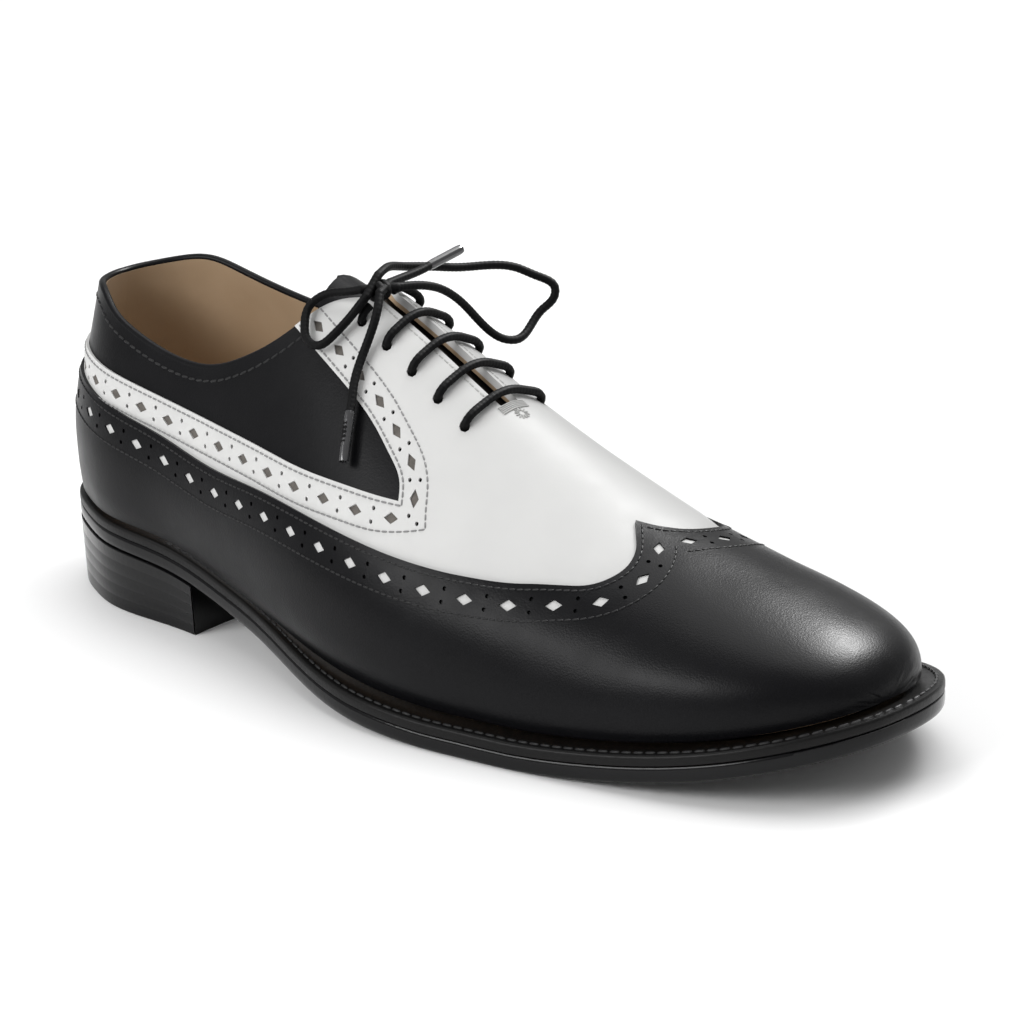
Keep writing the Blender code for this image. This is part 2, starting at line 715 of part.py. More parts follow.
def tidy_object(name, verts, faces, material, sharp=30):
    """Object from faces in which some corners are the same vertex."""
    kept = []
    for face in faces:
        corners = [f for i, f in enumerate(face) if f != face[i - 1]]
        if len(corners) > 2:
            kept.append(corners)
    used = sorted({v for face in kept for v in face})
    number = {v: i for i, v in enumerate(used)}
    return new_object(name, verts[used], [[number[v] for v in face] for face in kept],
                      material, sharp)


def make_welt(material):
    """Flat ring under the feather edge, on which the upper stands."""
    path = bottom_path()
    foot = OUTSOLE + GAP
    loops = []
    for out, height in ((edge_width(path), foot + WELT), (edge_width(path), foot),
                        (np.full(len(path), -WELT_SEAT), foot),
                        (np.full(len(path), -WELT_SEAT), foot + WELT)):
        outer = feather_line(path, LATERAL, out)
        inner = feather_line(path, MEDIAL, out)
        loop = np.vstack([outer, inner[-2:0:-1]])
        loop[:, 2] = underside(loop[:, 0]) + height
        loops.append(loop)
    count = len(loops[0])
    verts = np.vstack(loops)
    faces = []
    for i in range(4):
        for j in range(count):
            k = (j + 1) % count
            a, b = i * count, (i + 1) % 4 * count
            faces.append([a + j, a + k, b + k, b + j])
    return tidy_object("welt", verts, faces, material)


def make_bottom(materials):
    """Outsole, heel and insole."""
    def over_sole(height):
        return lambda x: underside(x) + height
    path = bottom_path()
    slab("outsole", path, edge_width(path), underside, over_sole(OUTSOLE), materials["edge"])
    make_welt(materials["welt"])
    back = bottom_path(path_at(HEEL_BREAST))
    slab("heel", back, edge_width(back), np.zeros_like, over_sole(-GAP),
         materials["heel"], ribs=7, hollow=BREAST_HOLLOW, taper=HEEL_TAPER)
    inset = -(SKIN + WALL + INSOLE_CLEAR)
    slab("insole", path, np.full(len(path), inset), over_sole(STACK),
         over_sole(STACK + INSOLE), materials["lining"])


def make_upper(materials):
    """Hollow upper with its tongue, and the overlays on it."""
    collar = collar_line()
    wing = wing_line()
    white_edge = shift_line(wing, GAP)
    foot = {side: foot_line(side) for side in (LATERAL, MEDIAL)}
    loops = {
        "collar": collar,
        "wing": np.vstack([wing, foot[MEDIAL], foot_tip(), foot[LATERAL][::-1]]),
        "white": np.vstack([band_line(LATERAL)[::-1], white_edge, band_line(MEDIAL)]),
        "tongue": tongue_outline(),
    }
    eyelets = []
    for side in (LATERAL, MEDIAL):
        for row, place in enumerate(eyelet_places(side)):
            name = f"eyelet_{side}_{row}"
            eyelets.append(name)
            loops[name] = ring_on_last(place, EYELET_HOLE / 2)
    pattern = Pattern(loops)
    bored = np.zeros(len(pattern.faces), bool)
    for name in eyelets:
        bored |= pattern.within(name)
    leather = ~pattern.within("collar") & ~bored
    sheet_solid("upper", pattern, leather, -SKIN - WALL, -SKIN, materials["black"])
    low, high = -OVERLAY, 0
    sheet_solid("wing", pattern, pattern.within("wing"), low, high, materials["black"])
    sheet_solid("vamp_quarters", pattern, pattern.within("white") & leather, low, high,
                materials["white"])
    deep = -(SKIN + WALL + GAP)
    sheet_solid("tongue", pattern, pattern.within("tongue"), deep - TONGUE, deep,
                materials["black"], ridge_drop(pattern.places))


def on_leather(path, out, rise):
    """Point a way out from the ridge along the leather, raised over its face."""
    over = last_frame(np.array([path]), np.array([np.sign(out) * 0.06]))[3][0]
    points, normals, _, _ = last_frame(np.array([path]), np.array([out / over]))
    return points[0] + normals[0] * rise


def eyelet_turn(path, out):
    """Points of the lace out of an eyelet and over its edge, towards the throat."""
    inward = -np.sign(out)
    rise = LACE / 2 + BAR_CLEAR
    steps = ((0, -BAR_DEPTH), (0, -0.9 * MM), (0.4 * MM, 0.9 * MM), (1.6 * MM, rise))
    return [on_leather(path, out + inward * step, height) for step, height in steps]


def tube(name, line, thickness, material, resolution=2):
    """Round cord along a line of points, with flat ends."""
    curve = bpy.data.curves.new(name, "CURVE")
    curve.dimensions = "3D"
    curve.bevel_depth = thickness / 2
    curve.bevel_resolution = resolution
    curve.use_fill_caps = True
    spline = curve.splines.new("POLY")
    spline.points.add(len(line) - 1)
    for point, place in zip(spline.points, line):
        point.co = (*place, 1)
    curve.materials.append(material)
    thing = bpy.data.objects.new(name, curve)
    bpy.context.collection.objects.link(thing)


def cord_line(route, step=5.5 * MM):
    """Points at even steps along a smooth curve through a cord's route."""
    points = np.array(route) * MM
    run = np.concatenate([[0], np.cumsum(np.linalg.norm(np.diff(points, axis=0), axis=1))])
    at = np.linspace(0, run[-1], int(np.ceil(run[-1] / step)) + 1)
    return natural_spline(run, points, at)


def make_lace(materials):
    """Bars through the eyelets, leads to the knot, and the bow with its ends."""
    rise = LACE / 2 + BAR_CLEAR
    places = eyelet_places(LATERAL)
    spreads = np.linspace(EYELET_SPREAD_TOP, EYELET_SPREAD_END, EYELET_ROWS)
    for row, spread in enumerate(spreads[1:], start=1):
        path = places[row][0]
        halves = []
        for side in (LATERAL, MEDIAL):
            half = eyelet_turn(path, side * spread)
            half += [on_leather(path, side * out, rise) for out in (0.6 * spread, 3.9 * MM)]
            halves.append(half)
        tube(f"lace_bar_{row}", halves[0] + halves[1][::-1], LACE, materials["lace"], 1)
    for name, side, ends in (("outer_lead", LATERAL, OUTER_LEAD),
                             ("inner_lead", MEDIAL, INNER_LEAD)):
        lead = eyelet_turn(places[0][0], side * spreads[0])
        tube(name, lead + [np.array(end) * MM for end in ends], LACE, materials["lace"], 1)
    for name, route in (("near_loop", NEAR_LOOP), ("far_loop", FAR_LOOP),
                        ("lower_end", LOWER_END), ("upper_end", UPPER_END)):
        tube(name, cord_line(route), LACE, materials["lace"])
    for name, ends in (("lower_aglet", LOWER_AGLET), ("upper_aglet", UPPER_AGLET)):
        tube(name, np.array(ends) * MM, AGLET, materials["aglet"])
    shape = bmesh.new()
    bmesh.ops.create_uvsphere(shape, u_segments=12, v_segments=8, radius=1)
    bmesh.ops.scale(shape, vec=np.array(KNOT_HALF) * MM, verts=shape.verts)
    bmesh.ops.translate(shape, vec=np.array(KNOT) * MM, verts=shape.verts)
    mesh = bpy.data.meshes.new("knot")
    shape.to_mesh(mesh)
    shape.free()
    mesh.shade_smooth()
    mesh.materials.append(materials["lace"])
    bpy.context.collection.objects.link(bpy.data.objects.new("knot", mesh))


def stand_on_origin():
    """Move everything so that the origin is under the middle of the box."""
    corners = np.array([v.co for thing in bpy.data.objects if thing.type == "MESH"
                        for v in thing.data.vertices])
    low, high = corners.min(axis=0), corners.max(axis=0)
    middle = (low + high) / 2
    for thing in bpy.data.objects:
        thing.data.transform(Matrix.Translation((-middle[0], -middle[1], -low[2])))


def main():
    for thing in list(bpy.data.objects):
        bpy.data.objects.remove(thing, do_unlink=True)
    materials = {
        "black": new_material("black_leather", (0.012, 0.012, 0.014), 0.32, coat=0.3),
        "white": new_material("white_leather", (0.80, 0.80, 0.79), 0.42, coat=0.15),
        "lining": new_material("tan_lining", (0.46, 0.33, 0.21), 0.6),
        "welt": new_material("black_welt", (0.013, 0.012, 0.012), 0.4),
        "edge": new_material("black_edge", (0.01, 0.01, 0.011), 0.22, coat=0.4),
        "heel": new_material("black_heel", (0.011, 0.011, 0.012), 0.25, coat=0.4),
        "lace": new_material("black_lace", (0.014, 0.014, 0.015), 0.55),
        "aglet": new_material("clear_aglet", (0.10, 0.10, 0.10), 0.2, coat=0.5),
    }
    make_upper(materials)
    make_bottom(materials)
    make_lace(materials)
    stand_on_origin()


main()
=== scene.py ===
import math

import bmesh
import bpy
import numpy as np
from mathutils import Matrix, Vector
from mathutils.geometry import delaunay_2d_cdt


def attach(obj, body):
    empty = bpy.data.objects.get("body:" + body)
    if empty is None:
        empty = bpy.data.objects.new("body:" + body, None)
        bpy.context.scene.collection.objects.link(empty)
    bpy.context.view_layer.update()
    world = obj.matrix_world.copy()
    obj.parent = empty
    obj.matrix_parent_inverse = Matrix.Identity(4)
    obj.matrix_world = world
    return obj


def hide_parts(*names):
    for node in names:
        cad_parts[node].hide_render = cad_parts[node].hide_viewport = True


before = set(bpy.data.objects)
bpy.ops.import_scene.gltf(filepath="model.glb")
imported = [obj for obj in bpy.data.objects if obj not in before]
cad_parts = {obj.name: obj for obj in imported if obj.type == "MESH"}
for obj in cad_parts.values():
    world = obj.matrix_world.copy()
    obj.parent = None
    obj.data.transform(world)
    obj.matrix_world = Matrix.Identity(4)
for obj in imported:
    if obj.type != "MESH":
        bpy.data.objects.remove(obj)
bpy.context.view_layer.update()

MM = 0.001
LATERAL, MEDIAL = -1, 1
SIDES = (LATERAL, MEDIAL)
LAST_ORIGIN = np.array([148.544, 2.266, 0.0]) * MM  # the row's origin on the shoe's last
scene = bpy.context.scene

# Camera: where the shoe was photographed from, in front of its outer side and a little
# above the toe. It is turned onto this one shoe, and its lens fills the picture with it.
AZIMUTH, ELEVATION, ROLL = (math.radians(angle) for angle in (40.589, 18.667, -0.583))
DISTANCE = 0.946
PHOTO_LENS = 83.89
PHOTO_AIM = (66.273 * MM, 0.53 * MM)
SHOE_MIDDLE = (-0.0562, -0.0055)
ZOOM = 1.44
away = Vector((math.sin(AZIMUTH) * math.cos(ELEVATION),
               -math.cos(AZIMUTH) * math.cos(ELEVATION), math.sin(ELEVATION)))
level = Vector((math.cos(AZIMUTH), math.sin(AZIMUTH), 0))
upright = away.cross(level)
right = math.cos(ROLL) * level + math.sin(ROLL) * upright
up = -math.sin(ROLL) * level + math.cos(ROLL) * upright
eye = (Vector((0.15, 0, 0.05)) - Vector(LAST_ORIGIN) + PHOTO_AIM[0] * right
       + PHOTO_AIM[1] * up + DISTANCE * away)
forward = (SHOE_MIDDLE[0] * right + SHOE_MIDDLE[1] * up - away).normalized()
right = (right - right.dot(forward) * forward).normalized()
up = right.cross(forward)
camera_data = bpy.data.cameras.new("camera")
camera_data.lens = PHOTO_LENS * ZOOM
camera_data.sensor_width = 36
camera = bpy.data.objects.new("camera", camera_data)
camera.matrix_world = Matrix.LocRotScale(
    eye, Matrix((right, up, -forward)).transposed().to_quaternion(), None)
scene.collection.objects.link(camera)
scene.camera = camera

# Bow: one round waxed cotton lace, a black braid of 2.4 mm, tied in a bow with two loops
# and two ends. Each end is held together by a clear film, the aglet, over the braid.
LACE = 2.4 * MM
AGLET = 2.8 * MM
BRAID_PITCH = 2.6 * MM
BRAID_RELIEF = 0.07
CORD_STEP = 0.35 * MM
KNOT = (125.5, -5.9, 105.6)
KNOT_WRAP = (2.2, 0.5, 1.7)
WRAP_SHIFT = 1.1
NEAR_LOOP = ((122.9, -10.2, 106.4), (119.4, -11.9, 105.6), (112.4, -13.8, 104.0),
             (109.4, -17.1, 101.0), (110.8, -20.6, 96.9), (114.5, -23.0, 93.1),
             (118.6, -22.8, 92.6), (121.2, -19.8, 95.2), (123.6, -14.8, 100.2),
             (125.2, -12.3, 103.6), (125.5, -10.9, 104.9))
FAR_LOOP = ((124.4, -4.9, 109.6), (122.4, 0.2, 110.2), (119.4, 8.6, 108.4),
            (119.8, 19.2, 106.2), (122.0, 30.2, 104.0), (128.9, 44.8, 102.0),
            (132.7, 50.0, 98.9), (136.5, 52.8, 95.8), (137.0, 52.0, 93.2),
            (136.0, 48.0, 90.1), (136.3, 42.0, 85.9), (136.7, 37.0, 84.0),
            (135.3, 32.6, 84.8), (133.5, 28.0, 88.4), (131.6, 20.6, 97.0),
            (130.6, 12.6, 103.0), (129.8, 4.8, 105.5), (128.5, -2.0, 106.3))
LOWER_END = ((129.0, -9.0, 106.2), (131.0, -12.0, 102.6), (131.9, -17.6, 93.9),
             (134.0, -24.9, 84.9), (136.4, -28.9, 79.2))
UPPER_END = ((125.0, -1.3, 106.7), (123.9, 5.0, 106.7), (123.2, 15.6, 107.5))
LOWER_AGLET = ((136.6, -29.3, 78.7), (141.2, -36.8, 67.3))
UPPER_AGLET = ((123.2, 16.1, 107.6), (123.5, 28.6, 109.9))


def natural_spline(knots, values, at):
    """Natural cubic spline through the rows of values at the knots."""
    at = np.asarray(at, float)
    count = len(knots)
    width = np.diff(knots)
    matrix = np.eye(count)
    right = np.zeros_like(values)
    for i in range(1, count - 1):
        matrix[i, i - 1:i + 2] = width[i - 1], 2 * (width[i - 1] + width[i]), width[i]
        right[i] = 6 * ((values[i + 1] - values[i]) / width[i]
                        - (values[i] - values[i - 1]) / width[i - 1])
    bend = np.linalg.solve(matrix, right)
    k = np.clip(np.searchsorted(knots, at) - 1, 0, count - 2)
    t = (at - knots[k])[:, None]
    h = width[k][:, None]
    slope = (values[k + 1] - values[k]) / h - h * (2 * bend[k] + bend[k + 1]) / 6
    return (values[k] + slope * t + bend[k] * t ** 2 / 2
            + (bend[k + 1] - bend[k]) * t ** 3 / (6 * h))


class Field:
    """A shader socket that takes part in Python arithmetic."""

    def __init__(self, tree, socket):
        self.tree = tree
        self.socket = socket

    def maths(self, operation, first, second):
        """A Math node over two sockets or numbers."""
        return add_node(self.tree, "ShaderNodeMath", {"operation": operation},
                        {0: first, 1: second})

    def __add__(self, other):
        return self.maths("ADD", self, other)

    def __mul__(self, other):
        return self.maths("MULTIPLY", self, other)

    def __sub__(self, other):
        return self.maths("SUBTRACT", self, other)

    def __rsub__(self, other):
        return self.maths("SUBTRACT", other, self)

    __radd__ = __add__
    __rmul__ = __mul__


def add_node(tree, kind, settings, sockets, output=0):
    """A node with its settings, and values or links for its sockets."""
    made = tree.nodes.new(kind)
    for key, value in settings.items():
        setattr(made, key, value)
    for key, value in sockets.items():
        if isinstance(value, Field):
            tree.links.new(value.socket, made.inputs[key])
        else:
            made.inputs[key].default_value = value
    return Field(tree, made.outputs[output])


class Shader:
    """A Principled material whose changing values are worked out by Field expressions."""

    def __init__(self, name, colour, roughness, coat=0.0, specular=0.5):
        self.material = bpy.data.materials.new(name)
        self.material.use_nodes = True
        self.tree = self.material.node_tree
        self.surface = self.tree.nodes["Principled BSDF"]
        self.set("Base Color", (*colour, 1))
        self.set("Roughness", roughness)
        self.set("Specular IOR Level", specular)
        self.set("Coat Weight", coat)
        self.set("Coat Roughness", 0.18)
        self.place = self.node("ShaderNodeTexCoord", output="Object")

    def node(self, kind, settings=None, sockets=None, output=0):
        """A node in this material."""
        return add_node(self.tree, kind, settings or {}, sockets or {}, output)

    def set(self, name, value):
        """A number, a colour or a Field for one socket of the surface."""
        if isinstance(value, Field):
            self.tree.links.new(value.socket, self.surface.inputs[name])
        else:
            self.surface.inputs[name].default_value = value

    def noise(self, size, detail=2.0):
        """Soft noise from 0 to 1 with features of about this size."""
        return self.node("ShaderNodeTexNoise", {}, {"Vector": self.place,
                         "Scale": 1 / size, "Detail": detail}, "Fac")

    def cells(self, size):
        """Distance to the nearest of scattered points about this far apart."""
        return self.node("ShaderNodeTexVoronoi", {}, {"Vector": self.place,
                         "Scale": 1 / size}, "Distance")

    def blend(self, factor, low, high):
        """Colour between two colours."""
        return self.node("ShaderNodeMix", {"data_type": "RGBA"},
                         {0: factor, 6: (*low, 1), 7: (*high, 1)}, 2)

    def bump(self, height, depth):
        """Relief whose height field runs over this depth."""
        self.set("Normal", self.node("ShaderNodeBump", {}, {"Height": height,
                                     "Strength": 1.0, "Distance": depth}, "Normal"))


def row_points(route):
    """Points in the row frame from millimetres on the last."""
    return np.array(route) * MM - LAST_ORIGIN


def run_along(points):
    """Length so far at each point of a line."""
    return np.concatenate([[0], np.cumsum(np.linalg.norm(np.diff(points, axis=0), axis=1))])


def at_run(values, run, at):
    """Rows between the given rows of values, at lengths along their run."""
    return np.column_stack([np.interp(at, run, column) for column in values.T])


def from_ends(line):
    """How many steps each point of a line lies from its nearer end."""
    steps = np.arange(len(line))
    return np.minimum(steps, steps[::-1])


def cord_line(route, step):
    """Points at even steps along a smooth curve through a cord's route."""
    points = row_points(route)
    run = run_along(points)
    at = np.linspace(0, run[-1], int(np.ceil(run[-1] / step)) + 1)
    return natural_spline(run, points, at)


def smooth_mesh(name, verts, faces, material, sharp=50):
    """Mesh object that rides on the shoe, shaded smooth up to its sharp edges."""
    mesh = bpy.data.meshes.new(name)
    mesh.from_pydata([tuple(v) for v in verts], [], [tuple(f) for f in faces])
    mesh.validate()
    mesh.shade_smooth()
    mesh.set_sharp_from_angle(angle=math.radians(sharp))
    mesh.materials.append(material)
    thing = bpy.data.objects.new(name, mesh)
    scene.collection.objects.link(thing)
    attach(thing, "root")
    return thing


def wall_faces(rings, around, first=0):
    """Four-cornered faces between closed rings of vertices that follow each other."""
    faces = []
    for ring in range(rings - 1):
        a, b = first + ring * around, first + (ring + 1) * around
        for j in range(around):
            k = (j + 1) % around
            faces.append((a + j, a + k, b + k, b + j))
    return faces


def tube_parts(line, radius, around=20, braid=0.0, taper=None):
    """Vertices and faces of a round tube along a line, braided where asked."""
    line = np.asarray(line)
    ahead = np.gradient(line, axis=0)
    ahead /= np.linalg.norm(ahead, axis=1)[:, None]
    side = np.cross(ahead[0], (0.3, 0.2, 1.0))
    angle = np.arange(around) * 2 * np.pi / around
    run = run_along(line)
    rings = []
    for i, (place, way) in enumerate(zip(line, ahead)):
        side = side - side.dot(way) * way
        side /= np.linalg.norm(side)
        other = np.cross(way, side)
        turn = 2 * np.pi * run[i] / BRAID_PITCH
        strands = np.cos(3 * angle - turn) * np.cos(3 * angle + turn)
        size = radius * (1 + braid * strands) * (taper[i] if taper is not None else 1)
        rings.append(place + (np.cos(angle) * size)[:, None] * side
                     + (np.sin(angle) * size)[:, None] * other)
    verts = np.vstack(rings + [line[:1], line[-1:]])
    count = len(line)
    faces = wall_faces(count, around)
    last = (count - 1) * around
    for j in range(around):
        k = (j + 1) % around
        faces.append((count * around, k, j))
        faces.append((count * around + 1, last + j, last + k))
    return verts, faces


def join_parts(parts):
    """One list of vertices and faces from several."""
    verts, faces, start = [], [], 0
    for part_verts, part_faces in parts:
        verts.append(part_verts)
        faces += [tuple(v + start for v in face) for face in part_faces]
        start += len(part_verts)
    return np.vstack(verts), faces


lace = Shader("black_braid", (0.003, 0.003, 0.0033), 0.55, specular=0.10)
lace.set("Roughness", lace.noise(3 * MM) * 0.2 + 0.42)
lace.bump(lace.noise(0.25 * MM, 3.0), 0.08 * MM)
film = Shader("aglet_film", (0.035, 0.035, 0.037), 0.12, coat=0.6)
film.set("Roughness", film.noise(2 * MM) * 0.2 + 0.08)

bow = {}
for name, route in (("near_loop", NEAR_LOOP), ("far_loop", FAR_LOOP),
                    ("lower_end", LOWER_END + LOWER_AGLET),
                    ("upper_end", UPPER_END + UPPER_AGLET)):
    line = cord_line(route, CORD_STEP)
    verts, faces = tube_parts(line, LACE / 2, braid=BRAID_RELIEF)
    bow[name] = smooth_mesh(name, verts, faces, lace.material)
    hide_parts(name)
    bow[name + "_line"] = line

for name, route in (("lower_aglet", LOWER_AGLET), ("upper_aglet", UPPER_AGLET)):
    line = cord_line((route[0], route[1]), 0.5 * MM)
    taper = 1 - 0.12 * np.exp(-from_ends(line) / 1.2)
    verts, faces = tube_parts(line, AGLET / 2, around=24, taper=taper)
    bow[name] = smooth_mesh(name, verts, faces, film.material)
    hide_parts(name)

knot_middle = row_points([KNOT])[0]
turn = np.linspace(0, 2 * np.pi, 49)
strands = []
for shift in (-WRAP_SHIFT, WRAP_SHIFT):
    wrap = np.column_stack([KNOT_WRAP[0] * np.cos(turn), shift + KNOT_WRAP[1] * np.sin(turn),
                            KNOT_WRAP[2] * np.sin(turn)])
    strands.append(tube_parts(knot_middle + wrap * MM, LACE / 2, braid=BRAID_RELIEF))
for first, last in (("near_loop", "far_loop"), ("far_loop", "near_loop"),
                    ("lower_end", "upper_end")):
    start = bow[first + "_line"][:9][::-1]
    if last == "upper_end":
        finish = bow[last + "_line"][:9]
    else:
        finish = bow[last + "_line"][-9:][::-1]
    bridge = start[-1] + (finish[0] - start[-1]) * np.linspace(0, 1, 22)[1:-1, None]
    route = np.vstack([start, bridge, finish])
    taper = 0.8 + 0.27 * np.minimum(from_ends(route) / 8, 1)
    strands.append(tube_parts(route, LACE / 2, braid=BRAID_RELIEF, taper=taper))
knot = smooth_mesh("knot", *join_parts(strands), lace.material)
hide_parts("knot")


for name, far_end, pieces in (("near_loop", "knot", [knot]), ("far_loop", "knot", []),
                              ("lower_end", "fitting", [bow["lower_aglet"]]),
                              ("upper_end", "fitting", [bow["upper_aglet"]])):
    line = bow[name + "_line"]
    [tuple(p) for p in line[::3]] + [tuple(line[-1])]

# Leathers: each is cut to its outline on the last, a wooden form of the foot, and pulled
# over it. A place is a path length from the heel's back and a share across the last, from
# -1 at the outer feather edge over 0 at the ridge to +1 at the inner one.
LAST_LENGTH = 292 * MM
BALL_HALF = 48 * MM
INSTEP_RISE = 90 * MM
HEEL_RISE = 20.5 * MM
TOE_SPRING = 14.3 * MM
TOE_POWER = 2.3
WALL_POWER = 2.4
STACK = 8.2 * MM
ACROSS_SPAN = 0.105
GRID = 2.4 * MM
EDGE_STEP = 1.3 * MM
BALL_ROW = 9


def table(columns, *rows):
    """Short table as a dict of arrays, one for each named column."""
    return dict(zip(columns.split(), np.array(rows, float).T))


STATIONS = table(
    "along  turn  rise   swing",
    (0.116,  0, 1.005,  0.000),
    (0.116, 35, 0.995,  0.000),
    (0.116, 65, 0.965,  0.000),
    (0.116, 90, 0.935,  0.000),
    (0.212, 90, 0.830,  0.000),
    (0.295, 90, 0.615,  0.000),
    (0.384, 90, 0.390, -0.010),
    (0.479, 90, 0.166, -0.015),
    (0.575, 90, 0.034, -0.004),
    (0.664, 90, -0.010, 0.027),
    (0.747, 90, 0.025,  0.065),
    (0.839, 90, 0.224,  0.110),
    (0.925, 90, 0.573,  0.138),
    (1.000, 90, 1.000,  0.146))
HEEL_OUT = (
    (0.708, 0.688, 0.719, 0.510, 0.417),
    (0.677, 0.679, 0.710, 0.494, 0.375),
    (0.635, 0.673, 0.715, 0.492, 0.313),
    (0.677, 0.740, 0.771, 0.500, 0.292))
LATERAL_OUT = table(
    "feather  low   wide shoulder crown",
    *HEEL_OUT,
    (0.698, 0.760, 0.823, 0.542, 0.292),
    (0.740, 0.813, 0.885, 0.625, 0.271),
    (0.829, 0.902, 0.996, 0.729, 0.250),
    (0.933, 1.015, 1.104, 0.813, 0.250),
    (0.992, 1.058, 1.121, 0.885, 0.281),
    (0.963, 1.017, 1.058, 0.875, 0.323),
    (0.908, 0.954, 0.979, 0.840, 0.344),
    (0.823, 0.871, 0.881, 0.781, 0.365),
    (0.767, 0.813, 0.813, 0.735, 0.375),
    (0.719, 0.750, 0.744, 0.677, 0.375))
MEDIAL_OUT = table(
    "feather  low   wide shoulder crown",
    *HEEL_OUT,
    (0.677, 0.750, 0.813, 0.542, 0.292),
    (0.646, 0.750, 0.833, 0.615, 0.271),
    (0.594, 0.729, 0.844, 0.688, 0.250),
    (0.635, 0.781, 0.917, 0.740, 0.250),
    (0.823, 0.933, 1.042, 0.833, 0.281),
    (0.969, 1.042, 1.094, 0.875, 0.323),
    (1.021, 1.073, 1.094, 0.867, 0.344),
    (0.958, 1.000, 1.006, 0.825, 0.365),
    (0.875, 0.913, 0.913, 0.771, 0.375),
    (0.808, 0.840, 0.829, 0.721, 0.375))
SECTION_UP = table(
    "low    wide  shoulder crown  ridge",
    (0.067, 0.267, 0.689, 1.111, 1.244),
    (0.067, 0.267, 0.689, 1.111, 1.244),
    (0.067, 0.267, 0.678, 1.100, 1.222),
    (0.067, 0.256, 0.667, 1.089, 1.200),
    (0.067, 0.244, 0.644, 1.067, 1.156),
    (0.056, 0.222, 0.622, 1.022, 1.078),
    (0.056, 0.200, 0.617, 0.994, 1.022),
    (0.050, 0.183, 0.589, 0.928, 0.938),
    (0.050, 0.167, 0.506, 0.792, 0.799),
    (0.044, 0.144, 0.411, 0.649, 0.653),
    (0.044, 0.122, 0.333, 0.522, 0.527),
    (0.039, 0.111, 0.264, 0.406, 0.411),
    (0.039, 0.106, 0.219, 0.311, 0.316),
    (0.039, 0.100, 0.188, 0.254, 0.258))


def spline_weights(up):
    """Weights of six control points of a clamped cubic B-spline."""
    up = np.clip(np.asarray(up, float), 0, 1 - 1e-9)
    knots = np.array([0, 0, 0, 0, 1 / 3, 2 / 3, 1, 1, 1, 1])
    weights = [((knots[i] <= up) & (up < knots[i + 1])) * 1.0 for i in range(9)]
    for degree in (1, 2, 3):
        raised = []
        for i in range(9 - degree):
            before = knots[i + degree] - knots[i]
            after = knots[i + degree + 1] - knots[i + 1]
            value = 0 * up
            if before > 0:
                value = value + (up - knots[i]) / before * weights[i]
            if after > 0:
                value = value + (knots[i + degree + 1] - up) / after * weights[i + 1]
            raised.append(value)
        weights = raised
    return np.stack(weights, -1)


def lay_out_last():
    """Rows of control points for each side, mirrored behind the heel's back."""
    along = STATIONS["along"] * LAST_LENGTH
    turn = np.radians(STATIONS["turn"])
    fan = STATIONS["along"][0] * LAST_LENGTH * 0.94
    knots = np.where(STATIONS["turn"] < 90, fan * turn, fan * np.pi / 2 + along - along[0])
    swing = STATIONS["swing"][:, None] * BALL_HALF
    ups = np.column_stack([0 * along] + list(SECTION_UP.values())) * INSTEP_RISE
    rows = {}
    for side, out in ((LATERAL, LATERAL_OUT), (MEDIAL, MEDIAL_OUT)):
        out = np.column_stack(list(out.values()) + [0 * along]) * BALL_HALF
        x = along[:, None] - out * np.cos(turn)[:, None]
        y = out * np.sin(turn)[:, None]
        rows[side] = np.hstack([x, y, ups])
        mirrored = np.hstack([x, -y, ups])[2:0:-1]
        rows[side] = np.vstack([mirrored, rows[side]])
    swing = np.vstack([swing[2:0:-1], swing])
    return np.concatenate([-knots[2:0:-1], knots]), rows, swing


KNOTS, SIDE_ROWS, SWING_ROWS = lay_out_last()
PATH_UNIT = KNOTS[-1]
HEEL_AXIS = STATIONS["along"][0] * LAST_LENGTH
SIDE_START = KNOTS[5]
TOE_ROUND = 0.2 * LAST_LENGTH
WALL_ROUND = 0.178 * LAST_LENGTH
TOE_START = PATH_UNIT - TOE_ROUND
TOE_PATH = 1.3 * TOE_ROUND
PATH_END = TOE_START + TOE_PATH


def station(path):
    """Knot value of the section at a path length, which slows down round the toe."""
    turn = np.clip((path - TOE_START) / TOE_PATH, 0, 1) * np.pi / 2
    return np.minimum(path, TOE_START) + TOE_ROUND * np.sin(turn)


def underside(x):
    """Height of the outsole's underside at x, flat on the floor under the ball."""
    turn = np.radians(STATIONS["turn"])
    knots = (STATIONS["along"] * LAST_LENGTH
             - LATERAL_OUT["feather"] * BALL_HALF * np.cos(turn))
    scale = np.where(np.arange(len(knots)) <= BALL_ROW, HEEL_RISE, TOE_SPRING)
    rise = (STATIONS["rise"] * scale)[:, None]
    flat = np.ravel(x)
    return np.maximum(natural_spline(knots, rise, flat)[:, 0], 0).reshape(np.shape(x))


def half_sections(path, side):
    """Control points of the half-sections at each path length, shape (n, 6, 3)."""
    rows = natural_spline(KNOTS, SIDE_ROWS[side], station(path))
    swing = natural_spline(KNOTS, SWING_ROWS, station(path))
    x, y, up = rows[:, :6], rows[:, 6:12], rows[:, 12:]
    ahead = np.clip((x[:, :1] - (LAST_LENGTH - TOE_ROUND)) / TOE_ROUND, 0, 1)
    narrow = (1 - ahead ** TOE_POWER) ** (1 / TOE_POWER)
    ahead = np.clip((x[:, :1] - (LAST_LENGTH - WALL_ROUND)) / WALL_ROUND, 0, 1)
    low = (1 - ahead ** WALL_POWER) ** (1 / WALL_POWER)
    z = underside(x[:, :1]) + STACK + up * low
    return np.stack([x, side * y * narrow + swing, z], -1)


